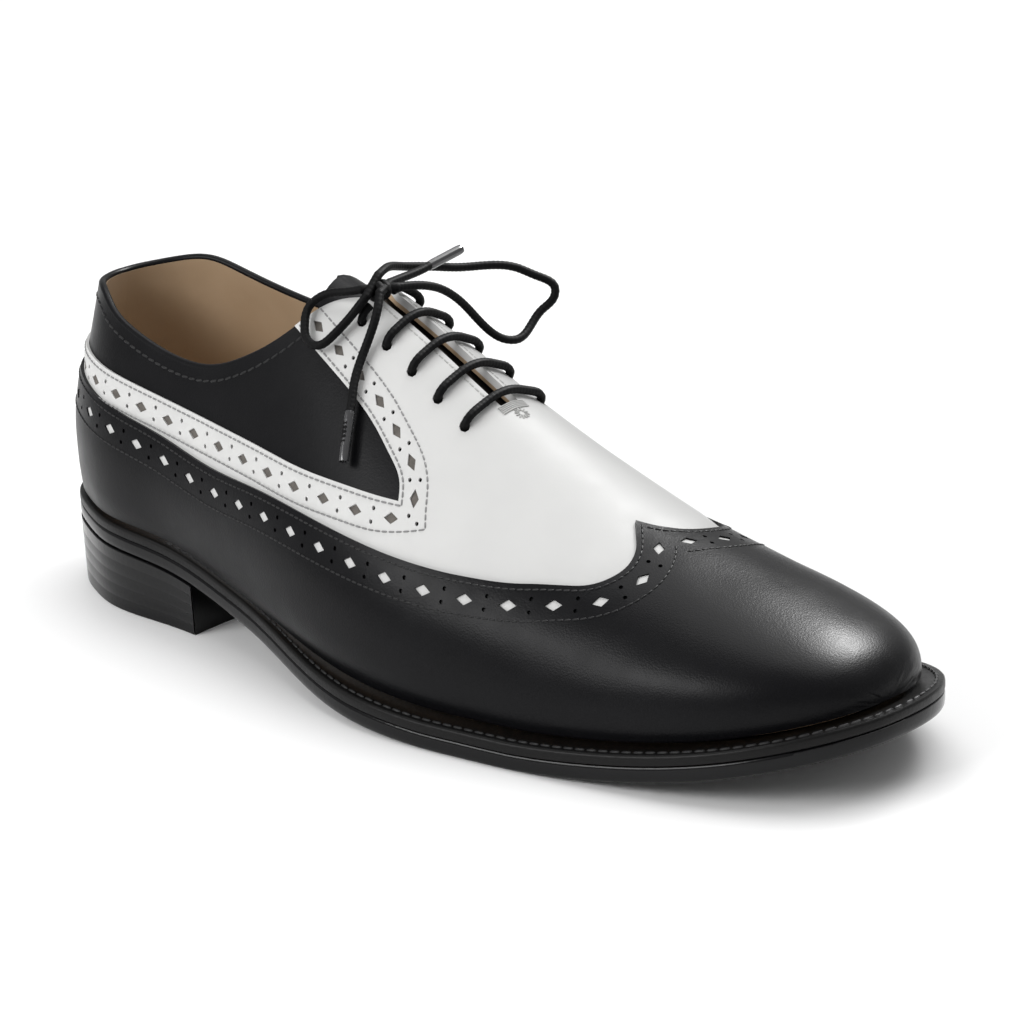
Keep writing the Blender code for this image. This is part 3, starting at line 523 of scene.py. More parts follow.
def last_point(path, across):
    """Points on the last."""
    path, across = np.broadcast_arrays(np.asarray(path, float), np.asarray(across, float))
    weights = spline_weights(1 - np.abs(across))
    points = np.zeros(path.shape + (3,))
    for side in SIDES:
        mine = (across < 0) if side == LATERAL else (across >= 0)
        if mine.any():
            controls = half_sections(path[mine], side)
            points[mine] = np.einsum("ni,nij->nj", weights[mine], controls)
    return points


def last_frame(path, across):
    """Points, outward normals and the lengths of a unit step along and across."""
    path, across = np.broadcast_arrays(np.asarray(path, float), np.asarray(across, float))
    inner = np.clip(path, None, PATH_END - 1 * MM)
    small = 0.02 * MM
    little = 2e-4
    along = (last_point(inner + small, across) - last_point(inner - small, across))
    along = along / (2 * small)
    low, high = np.maximum(across - little, -1), np.minimum(across + little, 1)
    over = (last_point(inner, high) - last_point(inner, low)) / (high - low)[:, None]
    normal = np.cross(over, along)
    normal /= np.linalg.norm(normal, axis=1)[:, None]
    normal = np.where((path > PATH_END - 1e-7)[:, None], np.array([1.0, 0, 0]), normal)
    return (last_point(path, across), -normal * outward_sign(normal, path, across),
            np.linalg.norm(along, axis=1), np.linalg.norm(over, axis=1))


def outward_sign(normal, path, across):
    """One sign for all normals, so that they point out of the last."""
    away = last_point(path, across) - np.array([LAST_LENGTH / 2, 0, INSTEP_RISE / 3])
    return -np.sign(np.sum(normal * away))


def step_across(path, across):
    """Length of a unit step across the last at each place."""
    path, across = np.broadcast_arrays(np.atleast_1d(path), across)
    return last_frame(path, across)[3]


def metric_run(line):
    """Length so far at each point of a line of places."""
    return run_along(last_point(*line.T))


def resample(line, step=EDGE_STEP):
    """Places about one step apart along a line."""
    run = metric_run(line)
    at = np.linspace(0, run[-1], max(2, int(np.ceil(run[-1] / step)) + 1))
    return at_run(line, run, at)


def smooth_line(rows, side):
    """Smooth line of places through a table of path and up shares."""
    points = np.column_stack([rows["path"] * PATH_UNIT, rows["up"]])
    run = np.concatenate([[0], np.cumsum(np.hypot(np.diff(points[:, 0]),
                                                  np.diff(points[:, 1]) * ACROSS_SPAN))])
    fine = natural_spline(run, points, np.linspace(0, run[-1], 12 * len(points)))
    return resample(np.column_stack([fine[:, 0], side * (1 - fine[:, 1])]))


def beside(line, distance):
    """The line moved sideways over the last, towards the ridge where distance is positive."""
    side = np.sign(np.median(line[:, 1]))
    _, _, along, over = last_frame(*line.T)
    ahead = np.gradient(line, axis=0) * np.column_stack([along, over])
    ahead /= np.linalg.norm(ahead, axis=1)[:, None] + 1e-12
    distance = np.broadcast_to(distance, len(line))
    left = np.column_stack([ahead[:, 1] / along, -ahead[:, 0] / over]) * side
    left *= distance[:, None]
    on_seam = line[:, 0] < 1e-6
    left[on_seam] = np.column_stack([0 * along, -side * distance / over])[on_seam]
    return line + left


def to_ridge(line):
    """The line of one side cut or carried on to where it meets the ridge."""
    side = np.sign(np.median(line[:, 1]))
    over = line[:, 1] * side < 0
    if over.any():
        stop = np.argmax(over)
        a, b = line[stop - 1], line[stop]
        share = a[1] / (a[1] - b[1])
        return np.vstack([line[:stop], [[a[0] + (b[0] - a[0]) * share, 0.0]]])
    a, b = line[-4], line[-1]
    if abs(b[1]) < 1e-6:
        return line
    share = b[1] / (a[1] - b[1])
    return np.vstack([line, [[b[0] + (b[0] - a[0]) * share, 0.0]]])


def both_sides(make):
    """One line from the outer side's heel over the ridge to the inner side's."""
    return np.vstack([make(LATERAL), make(MEDIAL)[::-1][1:]])


def inside(polygon, points):
    """Which points lie inside a closed outline."""
    x, y = points[:, 0], points[:, 1]
    found = np.zeros(len(points), bool)
    for (ax, ay), (bx, by) in zip(polygon, np.roll(polygon, -1, axis=0)):
        spans = (ay > y) != (by > y)
        if spans.any():
            found ^= spans & (x < (bx - ax) * (y - ay) / (by - ay + 1e-30) + ax)
    return found


def fill_out(loop, step=2 * EDGE_STEP):
    """The closed loop with places added where two neighbours lie far apart."""
    filled = []
    for start, end in zip(loop, np.roll(loop, -1, axis=0)):
        ends = last_point(np.array([start[0], end[0]]), np.array([start[1], end[1]]))
        count = max(1, int(np.ceil(np.linalg.norm(ends[1] - ends[0]) / step)))
        filled.extend(start + (end - start) * i / count for i in range(count))
    return np.array(filled)


def nearest(points, targets):
    """Distance from each point to the nearest target."""
    found = np.full(len(points), np.inf)
    for start in range(0, len(targets), 200):
        block = targets[start:start + 200]
        gap = np.linalg.norm(points[:, None] - block[None], axis=2).min(axis=1)
        found = np.minimum(found, gap)
    return found


def grid_places(step):
    """Places all over the last, about one step apart."""
    stations = np.concatenate([
        np.linspace(0, TOE_START, int(TOE_START / step)),
        np.linspace(TOE_START, PATH_END - 0.4 * MM, int(TOE_PATH / step))[1:]])
    places = []
    for path in stations:
        ends = last_point(np.full(13, path), np.linspace(0, 1, 13))
        arc = np.linalg.norm(np.diff(ends, axis=0), axis=1).sum()
        rows = max(1, int(np.ceil(arc / step)))
        places += [(path, across) for across in np.linspace(-1, 1, 2 * rows + 1)]
    return np.array(places)


GRID_PLACES = grid_places(GRID)
GRID_POINTS = last_point(*GRID_PLACES.T)


def cut_sheet(keep, cut=(), holes=()):
    """Triangles over the last inside one outline, outside others and round holes."""
    loops = [fill_out(loop) for loop in (*keep, *cut)] + list(holes)
    points, edges = [], []
    for loop in loops:
        start = len(points)
        points.extend(loop)
        edges.extend((start + i, start + i + 1) for i in range(len(loop) - 1))
        edges.append((start + len(loop) - 1, start))
    rim = np.array(points)
    rim_points = last_point(*rim.T)
    wanted = np.zeros(len(GRID_PLACES), bool)
    for loop in loops[:len(keep)]:
        wanted |= inside(loop, GRID_PLACES)
    wanted[wanted] = nearest(GRID_POINTS[wanted], rim_points) > 0.45 * GRID
    points.extend(GRID_PLACES[wanted])
    flat = [Vector((p[0], p[1] * ACROSS_SPAN)) for p in points]
    verts, _, faces, _, _, _ = delaunay_2d_cdt(flat, edges, [], 0, 1e-8)
    places = np.array([(v[0], v[1] / ACROSS_SPAN) for v in verts])
    places[:, 0] = np.clip(places[:, 0], 0, PATH_END)
    places[:, 1] = np.clip(places[:, 1], -1, 1)
    faces = np.array(faces)
    middles = places[faces].mean(axis=1)
    chosen = np.zeros(len(faces), bool)
    for loop in loops[:len(keep)]:
        chosen |= inside(loop, middles)
    for loop in loops[len(keep):len(keep) + len(cut)]:
        chosen &= ~inside(loop, middles)
    for hole in holes:
        near = np.linalg.norm(middles - hole.mean(axis=0), axis=1) < 8 * MM + 0.08
        picked = np.where(near & chosen)[0]
        chosen[picked] = ~inside(hole, middles[picked])
    return places, faces[chosen]


def close_seams(thing, gap, sharp, sliver=0.0):
    """The mesh with its meeting vertices joined, shaded smooth up to its sharp edges."""
    shape = bmesh.new()
    shape.from_mesh(thing.data)
    bmesh.ops.remove_doubles(shape, verts=shape.verts, dist=gap)
    if sliver:
        bmesh.ops.dissolve_degenerate(shape, edges=shape.edges, dist=sliver)
    bmesh.ops.recalc_face_normals(shape, faces=shape.faces)
    shape.to_mesh(thing.data)
    shape.free()
    thing.data.shade_smooth()
    thing.data.set_sharp_from_angle(angle=math.radians(sharp))
    return thing


def pull_over(name, sheet, outer, inner, material):
    """Leather of the cut sheet between two heights over the last, with its cut edges."""
    places, faces = sheet
    used, faces = np.unique(faces, return_inverse=True)
    faces = faces.reshape(-1, 3)
    places = places[used]
    points, normals, _, _ = last_frame(*places.T)
    count = len(used)
    high = outer(places, points) if callable(outer) else np.full(count, outer)
    low = inner(places, points) if callable(inner) else np.full(count, inner)
    verts = np.vstack([points + normals * high[:, None], points + normals * low[:, None]])
    verts[:, 2] = np.maximum(verts[:, 2], underside(verts[:, 0]) + STACK - 0.2 * MM)
    directed = {(a, b) for f in faces for a, b in ((f[0], f[1]), (f[1], f[2]), (f[2], f[0]))}
    rim = [(a, b) for a, b in directed if (b, a) not in directed]
    solid = [tuple(f) for f in faces]
    solid += [(a + count, c + count, b + count) for a, b, c in faces]
    seam = places[:, 0] < 1e-6
    solid += [(b, a, a + count, b + count) for a, b in sorted(rim)
              if not (seam[a] and seam[b])]
    return close_seams(smooth_mesh(name, verts - LAST_ORIGIN, solid, material), 0.004 * MM, 50)


def leather(name, dark, light, roughness, specular, grain):
    """Calf leather: fine grain, soft changes of tone and of polish."""
    shader = Shader(name, dark, roughness, specular=specular)
    shader.set("Base Color", shader.blend(shader.noise(14 * MM, 3.0), dark, light))
    shader.set("Roughness", shader.noise(9 * MM, 4.0) * 0.16 + (roughness - 0.08))
    relief = (shader.cells(0.55 * MM) * 0.5 + shader.noise(0.35 * MM, 3.0) * 0.4
              + shader.noise(5 * MM, 2.0) * 0.8)
    shader.bump(relief, grain)
    return shader.material


# Wing: black calf from the toe's tip back along both sides to the heel, lasted down into
# the welt. Its upper edge is cut plain, stitched twice and punched with diamonds and dots.
WING_EDGE = table(
    "path    up",
    (0.000, 0.465),
    (0.060, 0.463),
    (0.112, 0.457),
    (0.166, 0.444),
    (0.235, 0.433),
    (0.301, 0.441),
    (0.406, 0.496),
    (0.501, 0.535),
    (0.563, 0.563),
    (0.617, 0.596),
    (0.663, 0.634),
    (0.706, 0.682),
    (0.742, 0.740))
WING_POINT = {
    LATERAL: table(
        "path    up",
        (0.760, 0.772),
        (0.773, 0.820),
        (0.778, 0.873),
        (0.774, 0.918),
        (0.758, 0.974),
        (0.749, 1.000)),
    MEDIAL: table(
        "path    up",
        (0.762, 0.785),
        (0.775, 0.840),
        (0.781, 0.895),
        (0.779, 0.940),
        (0.767, 0.976),
        (0.749, 1.000))}
WING_STITCHES = (1.7 * MM, 10.9 * MM)
BROGUE_IN = 6.2 * MM
BROGUE_PITCH = 12.4 * MM
DIAMOND = (2.55 * MM, 1.55 * MM)
DOT = 0.62 * MM
DOT_APART = 1.75 * MM
WING_PROUD = 0.5 * MM
LEATHER = 1.1 * MM
WING_FOOT = 1.4 * MM
WING_EASES = (11 * MM, 26 * MM)
EDGE_DIP = 0.12 * MM
WING_LEAN = 0.032  # share across by which its point lies off the ridge, to the outer side
LEAN_FROM, LEAN_FULL, LEAN_REACH = 0.68, 0.74, 0.3
BROGUE_START = 0.55  # first diamond, in pitches from the line's start
black_calf = leather("black_calf", (0.0028, 0.0028, 0.0034), (0.0045, 0.0045, 0.0054), 0.35,
                     0.12, 0.045 * MM)


def smooth_step(value, low, high):
    """Share from 0 below the low value to 1 above the high one, with soft ends."""
    share = np.clip((value - low) / (high - low), 0, 1)
    return share * share * (3 - 2 * share)


def wing_edge(distance, side):
    """The wing's edge on one side, moved towards the ridge by a distance."""
    rows = {name: np.concatenate([WING_EDGE[name], WING_POINT[side][name]]) for name in WING_EDGE}
    line = smooth_line(rows, side)
    if distance:
        line = to_ridge(beside(line, distance))
    near = (1 - np.abs(line[:, 1]) / LEAN_REACH).clip(0)
    near = near * smooth_step(line[:, 0] / PATH_UNIT, LEAN_FROM, LEAN_FULL)
    return np.column_stack([line[:, 0], line[:, 1] - WING_LEAN * near])


def flat_turn(line, run, at):
    """Unit way ahead in metres at a run length of a line, and the flat's scale there."""
    before = at_run(line, run, [at - 0.6 * MM])[0]
    after = at_run(line, run, [at + 0.6 * MM])[0]
    _, _, along, over = last_frame(*((before + after) / 2)[:, None])
    scale = np.array([along[0], over[0]])
    way = (after - before) * scale
    return way / np.linalg.norm(way), scale


def punched(place, way, scale, outline):
    """Outline of a punched hole, given in metres ahead and aside of its middle."""
    aside = np.array([-way[1], way[0]])
    return place + (outline[:, :1] * way + outline[:, 1:] * aside) / scale


angles = np.arange(8) * np.pi / 4
DIAMOND_OUTLINE = np.array([(1, 0), (0.5, 0.52), (0, 1), (-0.5, 0.52),
                            (-1, 0), (-0.5, -0.52), (0, -1), (0.5, -0.52)]) * DIAMOND
ROUND_OUTLINE = np.column_stack([np.cos(angles), np.sin(angles)])
DOT_OUTLINE = ROUND_OUTLINE * DOT


def brogue(line, pitch):
    """Diamonds along a line, and two dots across it half way between each pair."""
    diamonds, dots = [], []
    run = metric_run(line)
    count = int(round(run[-1] / pitch))
    runs = (np.arange(count) + BROGUE_START) * run[-1] / count
    step = runs[1] - runs[0]
    for at, place in zip(runs, at_run(line, run, runs)):
        diamonds.append(punched(place, *flat_turn(line, run, at), DIAMOND_OUTLINE))
    between = runs[:-1] + step / 2
    for at, place in zip(between, at_run(line, run, between)):
        turned = flat_turn(line, run, at)
        for shift in SIDES:
            outline = DOT_OUTLINE + (0.25 * shift * MM, shift * DOT_APART)
            dots.append(punched(place, *turned, outline))
    return diamonds, dots


wing_top = both_sides(lambda side: wing_edge(0, side))
wing_top_points = last_point(*wing_top.T)


def foot_line(side, height):
    """Lower edge of a leather on one side, one height over the welt."""
    path = np.concatenate([np.linspace(0, TOE_START, 140),
                           np.linspace(TOE_START, PATH_END - 3.5 * MM, 60)[1:]])
    fine = np.linspace(1, 0, 161)
    line = []
    for place in path:
        points = last_point(np.full(161, place), side * fine)
        rise = points[:, 2] - points[0, 2]
        if rise[-1] > 1.05 * height:
            line.append((place, side * np.interp(height, rise, fine)))
    return np.array(line)


path = np.linspace(PATH_END - 20 * MM, PATH_END, 401)
rise = (last_point(path, np.zeros(401)) - last_point(path, np.ones(401)))[:, 2]
foot_tip = np.array([[np.interp(WING_FOOT, rise[::-1], path[::-1]), 0.0]])
wing_outline = np.vstack([wing_top, foot_line(MEDIAL, WING_FOOT), foot_tip,
                          foot_line(LATERAL, WING_FOOT)[::-1]])
diamonds, dots = [], []
for side in SIDES:
    found = brogue(wing_edge(-BROGUE_IN, side), BROGUE_PITCH)
    diamonds += found[0]
    dots += found[1]


def wing_height(places, points):
    """The wing lies on the white leather at its upper edge and on the last below."""
    gap = nearest(points, wing_top_points)
    return WING_PROUD * (1 - smooth_step(gap, *WING_EASES)) - EDGE_DIP * np.exp(-gap / MM)


wing = pull_over("wing", cut_sheet([wing_outline], holes=diamonds + dots), wing_height,
                 lambda places, points: wing_height(places, points) - LEATHER, black_calf)
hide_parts("wing")

# Vamp and quarters: one white calf piece each side of the throat. It runs under the
# wing's edge, and over the black collar quarter with a stitched and punched band.
TOPLINE = {
    LATERAL: table(
        "path    up",
        (0.000, 0.650),
        (0.065, 0.655),
        (0.112, 0.660),
        (0.150, 0.642),
        (0.198, 0.621),
        (0.247, 0.613),
        (0.298, 0.643),
        (0.341, 0.703),
        (0.389, 0.800),
        (0.421, 0.898),
        (0.443, 0.945)),
    MEDIAL: table(
        "path    up",
        (0.000, 0.650),
        (0.065, 0.660),
        (0.112, 0.678),
        (0.150, 0.683),
        (0.198, 0.672),
        (0.247, 0.668),
        (0.298, 0.688),
        (0.341, 0.730),
        (0.389, 0.810),
        (0.421, 0.900),
        (0.443, 0.945))}
THROAT_TOP = 0.456
BAND_CORNER = (0.574, 0.681)
BAND_LOWER = table(
    "path    up",
    (0.000, 0.530),
    (0.104, 0.525),
    (0.194, 0.521),
    (0.257, 0.525),
    (0.320, 0.552),
    (0.394, 0.581),
    (0.457, 0.602),
    (0.510, 0.632),
    (0.557, 0.666),
    BAND_CORNER)
BAND_FRONT = table(
    "path    up",
    BAND_CORNER,
    (0.568, 0.708),
    (0.548, 0.735),
    (0.520, 0.757),
    (0.478, 0.777),
    (0.436, 0.793),
    (0.393, 0.813))
THROAT_HALF = 3.4 * MM
THROAT_SEWN = 0.602
EYELET_RADIUS = 1.75 * MM
EYELET_PITCH = 10.4 * MM
EYELET_SPREADS = np.linspace(12.6, 15.8, 5) * MM
UNDER_WING = 9.5 * MM
BAND_STITCHES = (1.3 * MM, 9.6 * MM)
BAND_BROGUE = 5.4 * MM
LOWER_PITCH, FRONT_PITCH = 12.1 * MM, 11.8 * MM
WHITE_EASES = (0.3 * MM, 5 * MM)
BAND_DIP, DIP_WIDTH = 0.10 * MM, 0.7 * MM
BAND_BACK, BACKED = -0.9 * MM, -1.95 * MM
BAND_WIDTH = 12 * MM
BAND_TURN = 12 * MM
white_calf = leather("white_calf", (0.54, 0.54, 0.535), (0.59, 0.59, 0.58), 0.55, 0.25,
                     0.018 * MM)
tops = {side: smooth_line(TOPLINE[side], side) for side in SIDES}


def throat_edge(side, half=THROAT_HALF):
    """Straight edge of the facing beside the throat, from its top to its end."""
    path = np.linspace(THROAT_TOP, THROAT_SEWN, 40) * PATH_UNIT
    half = np.full(40, half)
    half[-1] *= 0.6
    return np.column_stack([path, side * half / step_across(path, side * 0.02)])


def collar_line(half=THROAT_HALF):
    """Edge of the opening: outer topline, throat and inner topline."""
    return np.vstack([tops[LATERAL], throat_edge(LATERAL, half),
                      throat_edge(MEDIAL, half)[::-1], tops[MEDIAL][::-1]])


def carried_on(line, first, last):
    """The line made longer at its two ends by these lengths, straight on."""
    scale = np.array([1, ACROSS_SPAN])
    ends = []
    for near, back, length in ((0, 3, first), (-1, -4, last)):
        way = (line[near] - line[back]) * scale
        steps = np.arange(1, int(length / EDGE_STEP) + 1)[:, None] * EDGE_STEP
        ends.append(line[near] + way / np.linalg.norm(way) * steps / scale)
    return np.vstack([ends[0][::-1], line, ends[1]])


def crossing(first, second):
    """Where two lines of places cross: the step along each and the place."""
    a, b = first[:-1, None], first[1:, None]
    c, d = second[None, :-1], second[None, 1:]
    way, other = b - a, d - c
    area = way[..., 0] * other[..., 1] - way[..., 1] * other[..., 0] + 1e-15
    gap = c - a
    along = (gap[..., 0] * other[..., 1] - gap[..., 1] * other[..., 0]) / area
    beyond = (gap[..., 0] * way[..., 1] - gap[..., 1] * way[..., 0]) / area
    found = (along >= 0) & (along <= 1) & (beyond >= 0) & (beyond <= 1)
    i, j = np.argwhere(found)[-1]
    return i, j, first[i] + (first[i + 1] - first[i]) * along[i, j]


def band_line(side, distance):
    """The band's edge on one side, moved away from the collar, with a sharp corner."""
    lower = smooth_line(BAND_LOWER, side)
    front = smooth_line(BAND_FRONT, side)
    if distance == 0:
        return np.vstack([lower, front[1:]]), len(lower) - 1
    lower = carried_on(lower, 0, 0.02)
    corner = BAND_CORNER[0] * PATH_UNIT
    near = ((lower[:, 0] - corner + BAND_TURN) / (1.8 * BAND_TURN)).clip(0, 1.2)
    lower = beside(lower, -distance * (1 - 0.45 * near ** 2))
    front = beside(carried_on(front, 0.02, 0.02), -distance)
    i, j, place = crossing(lower, front)
    front = front[j + 1:]
    front = front[~inside(collar_line(), front)]
    return np.vstack([lower[:i + 1], [place], front]), i + 1


def eyelets(side):
    """Middles of the eyelet holes, from the top down."""
    path = THROAT_TOP * PATH_UNIT + np.arange(len(EYELET_SPREADS)) * EYELET_PITCH
    return np.column_stack([path, side * EYELET_SPREADS / step_across(path, side * 0.06)])


collar = collar_line()
bands = {side: band_line(side, 0)[0] for side in SIDES}
white_outline = np.vstack([bands[LATERAL][::-1],
                           both_sides(lambda side: wing_edge(-UNDER_WING, side)),
                           bands[MEDIAL]])
white_holes, band_diamonds = [], []
for side in SIDES:
    for place in eyelets(side):
        _, _, along, over = last_frame(place[:1], place[1:])
        white_holes.append(place + ROUND_OUTLINE * EYELET_RADIUS / (along[0], over[0]))
    line, corner = band_line(side, BAND_BROGUE)
    for leg, pitch in ((line[:corner + 1][::-1], LOWER_PITCH), (line[corner:], FRONT_PITCH)):
        found = brogue(leg, pitch)
        band_diamonds += found[0]
        white_holes += found[0] + found[1]
    run = metric_run(line)
    _, scale = flat_turn(line, run, run[corner])
    for shift in SIDES:
        pair, turn_at = band_line(side, BAND_BROGUE + shift * 0.8 * DOT_APART)
        white_holes.append(punched(pair[turn_at], np.array([1.0, 0.0]), scale, DOT_OUTLINE))
band_points = last_point(*np.vstack([bands[LATERAL], bands[MEDIAL]]).T)


def white_height(places, points):
    """The white leather sinks where it runs under the wing."""
    gap = nearest(points, wing_top_points)
    under = inside(wing_outline, places)
    depth = np.where(under, 1, 1 - smooth_step(gap, *WHITE_EASES))
    dip = BAND_DIP * np.exp(-nearest(points, band_points) / DIP_WIDTH)
    return -(LEATHER - WING_PROUD + 0.05 * MM) * depth - dip


def white_depth(places, points):
    """It is thin over the black quarter and backed elsewhere."""
    gap = nearest(points, band_points)
    return np.minimum(white_height(places, points) - 0.5 * MM,
                      np.where(gap < BAND_WIDTH, BAND_BACK, BACKED))


white = pull_over("vamp_quarters", cut_sheet([white_outline], cut=[collar],
                                             holes=white_holes),
                  white_height, white_depth, white_calf)
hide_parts("vamp_quarters")

# Collar quarters, lining and topline: black calf round the opening, tan lining leather
# inside the whole shoe, and a narrow folded edge that binds the two at the top.
lining_leather = leather("tan_lining_leather", (0.40, 0.28, 0.17), (0.48, 0.35, 0.23), 0.62,
                         0.3, 0.03 * MM)
UNDER_BAND = 10.2 * MM
QUARTER_FACE, QUARTER_BACK = -0.95 * MM, -1.9 * MM
LINING_FACE, LINING_BACK = -2.0 * MM, -3.3 * MM
LINING_FOOT = 2.2 * MM
LINING_END = 0.93
LINING_HALF = 4.2 * MM
FOLD_RADIUS = 1.15 * MM
FOLD_FACE = -2.05 * MM
FOLD_END = 0.398
under_band = {side: band_line(side, UNDER_BAND)[0] for side in SIDES}
quarter_outline = np.vstack([under_band[LATERAL][::-1], under_band[MEDIAL]])
quarters = pull_over("collar_quarters", cut_sheet([quarter_outline], cut=[collar]),
                     QUARTER_FACE, QUARTER_BACK, black_calf)
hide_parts("upper")

inner_feet = [foot_line(side, LINING_FOOT) for side in SIDES]
inner_feet = [line[line[:, 0] < LINING_END * PATH_UNIT] for line in inner_feet]
whole = np.vstack([inner_feet[0], inner_feet[1][::-1]])
lining = pull_over("lining", cut_sheet([whole], cut=[collar_line(LINING_HALF)]),
                   LINING_FACE, LINING_BACK, lining_leather)
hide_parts("upper")


def on_last(line, height):
    """Points in the row frame over places of the last."""
    points, normals, _, _ = last_frame(*line.T)
    return points + normals * height - LAST_ORIGIN


def fold_line(side):
    """Middle of the folded edge on one side, from the heel's seam to the facing."""
    line = resample(tops[side], 1.0 * MM)
    return on_last(line[line[:, 0] < FOLD_END * PATH_UNIT], FOLD_FACE)


fold = np.vstack([fold_line(LATERAL)[::-1], fold_line(MEDIAL)[1:]])
binding = smooth_mesh("topline_edge", *tube_parts(fold, FOLD_RADIUS, around=12), black_calf)

# Tongue: a soft black calf flap with a rounded top. It lies under the facings and the lace,
# and is sewn in below the throat's end.
TONGUE_TOP = 0.397
TONGUE_END = 0.665
TONGUE_HALF = 24.5 * MM
TONGUE_ROUND = 12 * MM
TONGUE_CORNER = 12 * MM
TONGUE_THICK = 2.1 * MM
TONGUE_DEPTH = 3.75 * MM


def tongue_outline():
    """Outline of the tongue, with round upper corners."""
    top, end = TONGUE_TOP * PATH_UNIT, TONGUE_END * PATH_UNIT
    turn = np.linspace(0, np.pi / 2, 10)
    path = np.concatenate([[end], top + TONGUE_CORNER * (1 - np.sin(turn))])
    out = np.concatenate([[TONGUE_HALF * 0.8], TONGUE_HALF - TONGUE_CORNER * (1 - np.cos(turn))])
    outer, inner = (np.column_stack([path, side * out / step_across(path, side * 0.08)])
                    for side in SIDES)
    return np.vstack([outer, inner[::-1]])


def tongue_height(places, points):
    """The tongue is round where the last has its ridge."""
    controls = half_sections(places[:, 0], LATERAL)
    slope = ((controls[:, 5, 2] - controls[:, 4, 2])
             / np.abs(controls[:, 4, 1] - controls[:, 5, 1]).clip(1 * MM))
    out = np.abs(places[:, 1]) * step_across(places[:, 0], 0.04)
    drop = slope.clip(0) * TONGUE_ROUND / 2 * (1 - out / TONGUE_ROUND).clip(0) ** 2
    return -TONGUE_DEPTH - drop


tongue = pull_over("tongue", cut_sheet([tongue_outline()]), tongue_height,
                   lambda places, points: tongue_height(places, points) - TONGUE_THICK,
                   black_calf)
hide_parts("tongue")

# Stitching: waxed thread in even rows along every edge, black on black leather and grey
# on the white band, with a white bar tack and a small star sewn where the throat ends.
THREAD = 0.28 * MM
STITCH_PITCH, STITCH_GAP = 2.1 * MM, 0.4 * MM
BAND_PITCH = 2.2 * MM
COLLAR_STITCHES = 3.6 * MM
COLLAR_FACE = -0.9 * MM
COLLAR_ROW = {"pitch": 3.0 * MM, "gap": 0.6 * MM, "thick": 0.36 * MM, "slant": 0.1 * MM}
FACING_STITCHES = 1.5 * MM
THREAD_LIFT = 0.05 * MM
TACK_ROWS = np.linspace(-0.6, 1.4, 5) * MM
TACK_REACH = 0.038
TACK_LIFT, STAR_LIFT = 0.12 * MM, 0.1 * MM
STAR_BELOW = 3.4 * MM
STAR_RAY = (0.8 * MM, 2.2 * MM)
DOT_DEPTH, DIAMOND_DEPTH = 0.75 * MM, 0.5 * MM
BAND_HOLE = -0.55 * MM
black_thread = Shader("black_thread", (0.008, 0.008, 0.0085), 0.45, specular=0.3)
grey_thread = Shader("grey_thread", (0.20, 0.20, 0.20), 0.6)
white_thread = Shader("white_thread", (0.40, 0.40, 0.39), 0.6)
for thread in (black_thread, grey_thread, white_thread):
    thread.set("Roughness", thread.noise(0.6 * MM) * 0.2 + 0.4)
    thread.bump(thread.noise(0.2 * MM), 0.05 * MM)


def capsules(starts, ends, normals, width, height):
    """Short rounded threads, each from its start to its end."""
    ahead = ends - starts
    aside = np.cross(normals, ahead)
    aside /= np.linalg.norm(aside, axis=1)[:, None]
    angle = np.arange(6) * np.pi / 3
    rings = []
    for share, size in ((0, 0.3), (0.16, 0.95), (0.84, 0.95), (1, 0.3)):
        middle = starts + ahead * share
        rings.append(middle[:, None] + size * (
            np.cos(angle)[None, :, None] * width * aside[:, None]
            + np.sin(angle)[None, :, None] * height * normals[:, None]))
    verts = np.stack(rings, axis=1).reshape(-1, 3)
    faces = []
    for base in range(0, len(verts), 24):
        faces += wall_faces(4, 6, base)
        faces.append(tuple(base + j for j in range(5, -1, -1)))
        faces.append(tuple(base + 18 + j for j in range(6)))
    return verts, faces


def stitch_row(line, height, pitch=STITCH_PITCH, gap=STITCH_GAP, thick=THREAD, slant=0.0):
    """A row of stitches along places of the last; height may be one value or a function."""
    fine = resample(line, 0.4 * MM)
    points, normals, _, _ = last_frame(*fine.T)
    lift = height(fine, points) if callable(height) else height
    points = points + normals * np.broadcast_to(lift, len(fine))[:, None] - LAST_ORIGIN
    run = run_along(points)
    count = max(1, int(run[-1] / pitch))
    starts = np.arange(count) * run[-1] / count + gap / 2
    first = at_run(points, run, starts)
    last = at_run(points, run, starts + run[-1] / count - gap)
    up_there = at_run(normals, run, starts)
    aside = np.cross(up_there, last - first)
    aside *= slant / (np.linalg.norm(aside, axis=1)[:, None] + 1e-12)
    return capsules(first - aside, last + aside, up_there, thick, thick * 0.8)


def stitched(name, rows, shader):
    """One piece from several rows of stitches."""
    smooth_mesh(name, *join_parts(rows), shader.material)


def above_wing(places, points):
    """Height of the threads over the wing."""
    return wing_height(places, points) + THREAD_LIFT


wing_rows, band_rows, collar_rows, facing_rows = [], [], [], []
for side in SIDES:
    for distance in WING_STITCHES:
        wing_rows.append(stitch_row(wing_edge(-distance, side), above_wing))
    for distance in BAND_STITCHES:
        band_rows.append(stitch_row(band_line(side, distance)[0], THREAD_LIFT, BAND_PITCH))
    collar_edge = beside(tops[side], -COLLAR_STITCHES)[:-6]
    collar_rows.append(stitch_row(collar_edge, COLLAR_FACE, **COLLAR_ROW))
    facing_edge = throat_edge(side, THROAT_HALF + FACING_STITCHES)[:-3]
    facing_rows.append(stitch_row(facing_edge, THREAD_LIFT))
stitched("wing_stitches", wing_rows, black_thread)
stitched("band_stitches", band_rows, grey_thread)
stitched("collar_stitches", collar_rows, black_thread)
stitched("facing_stitches", facing_rows, white_thread)

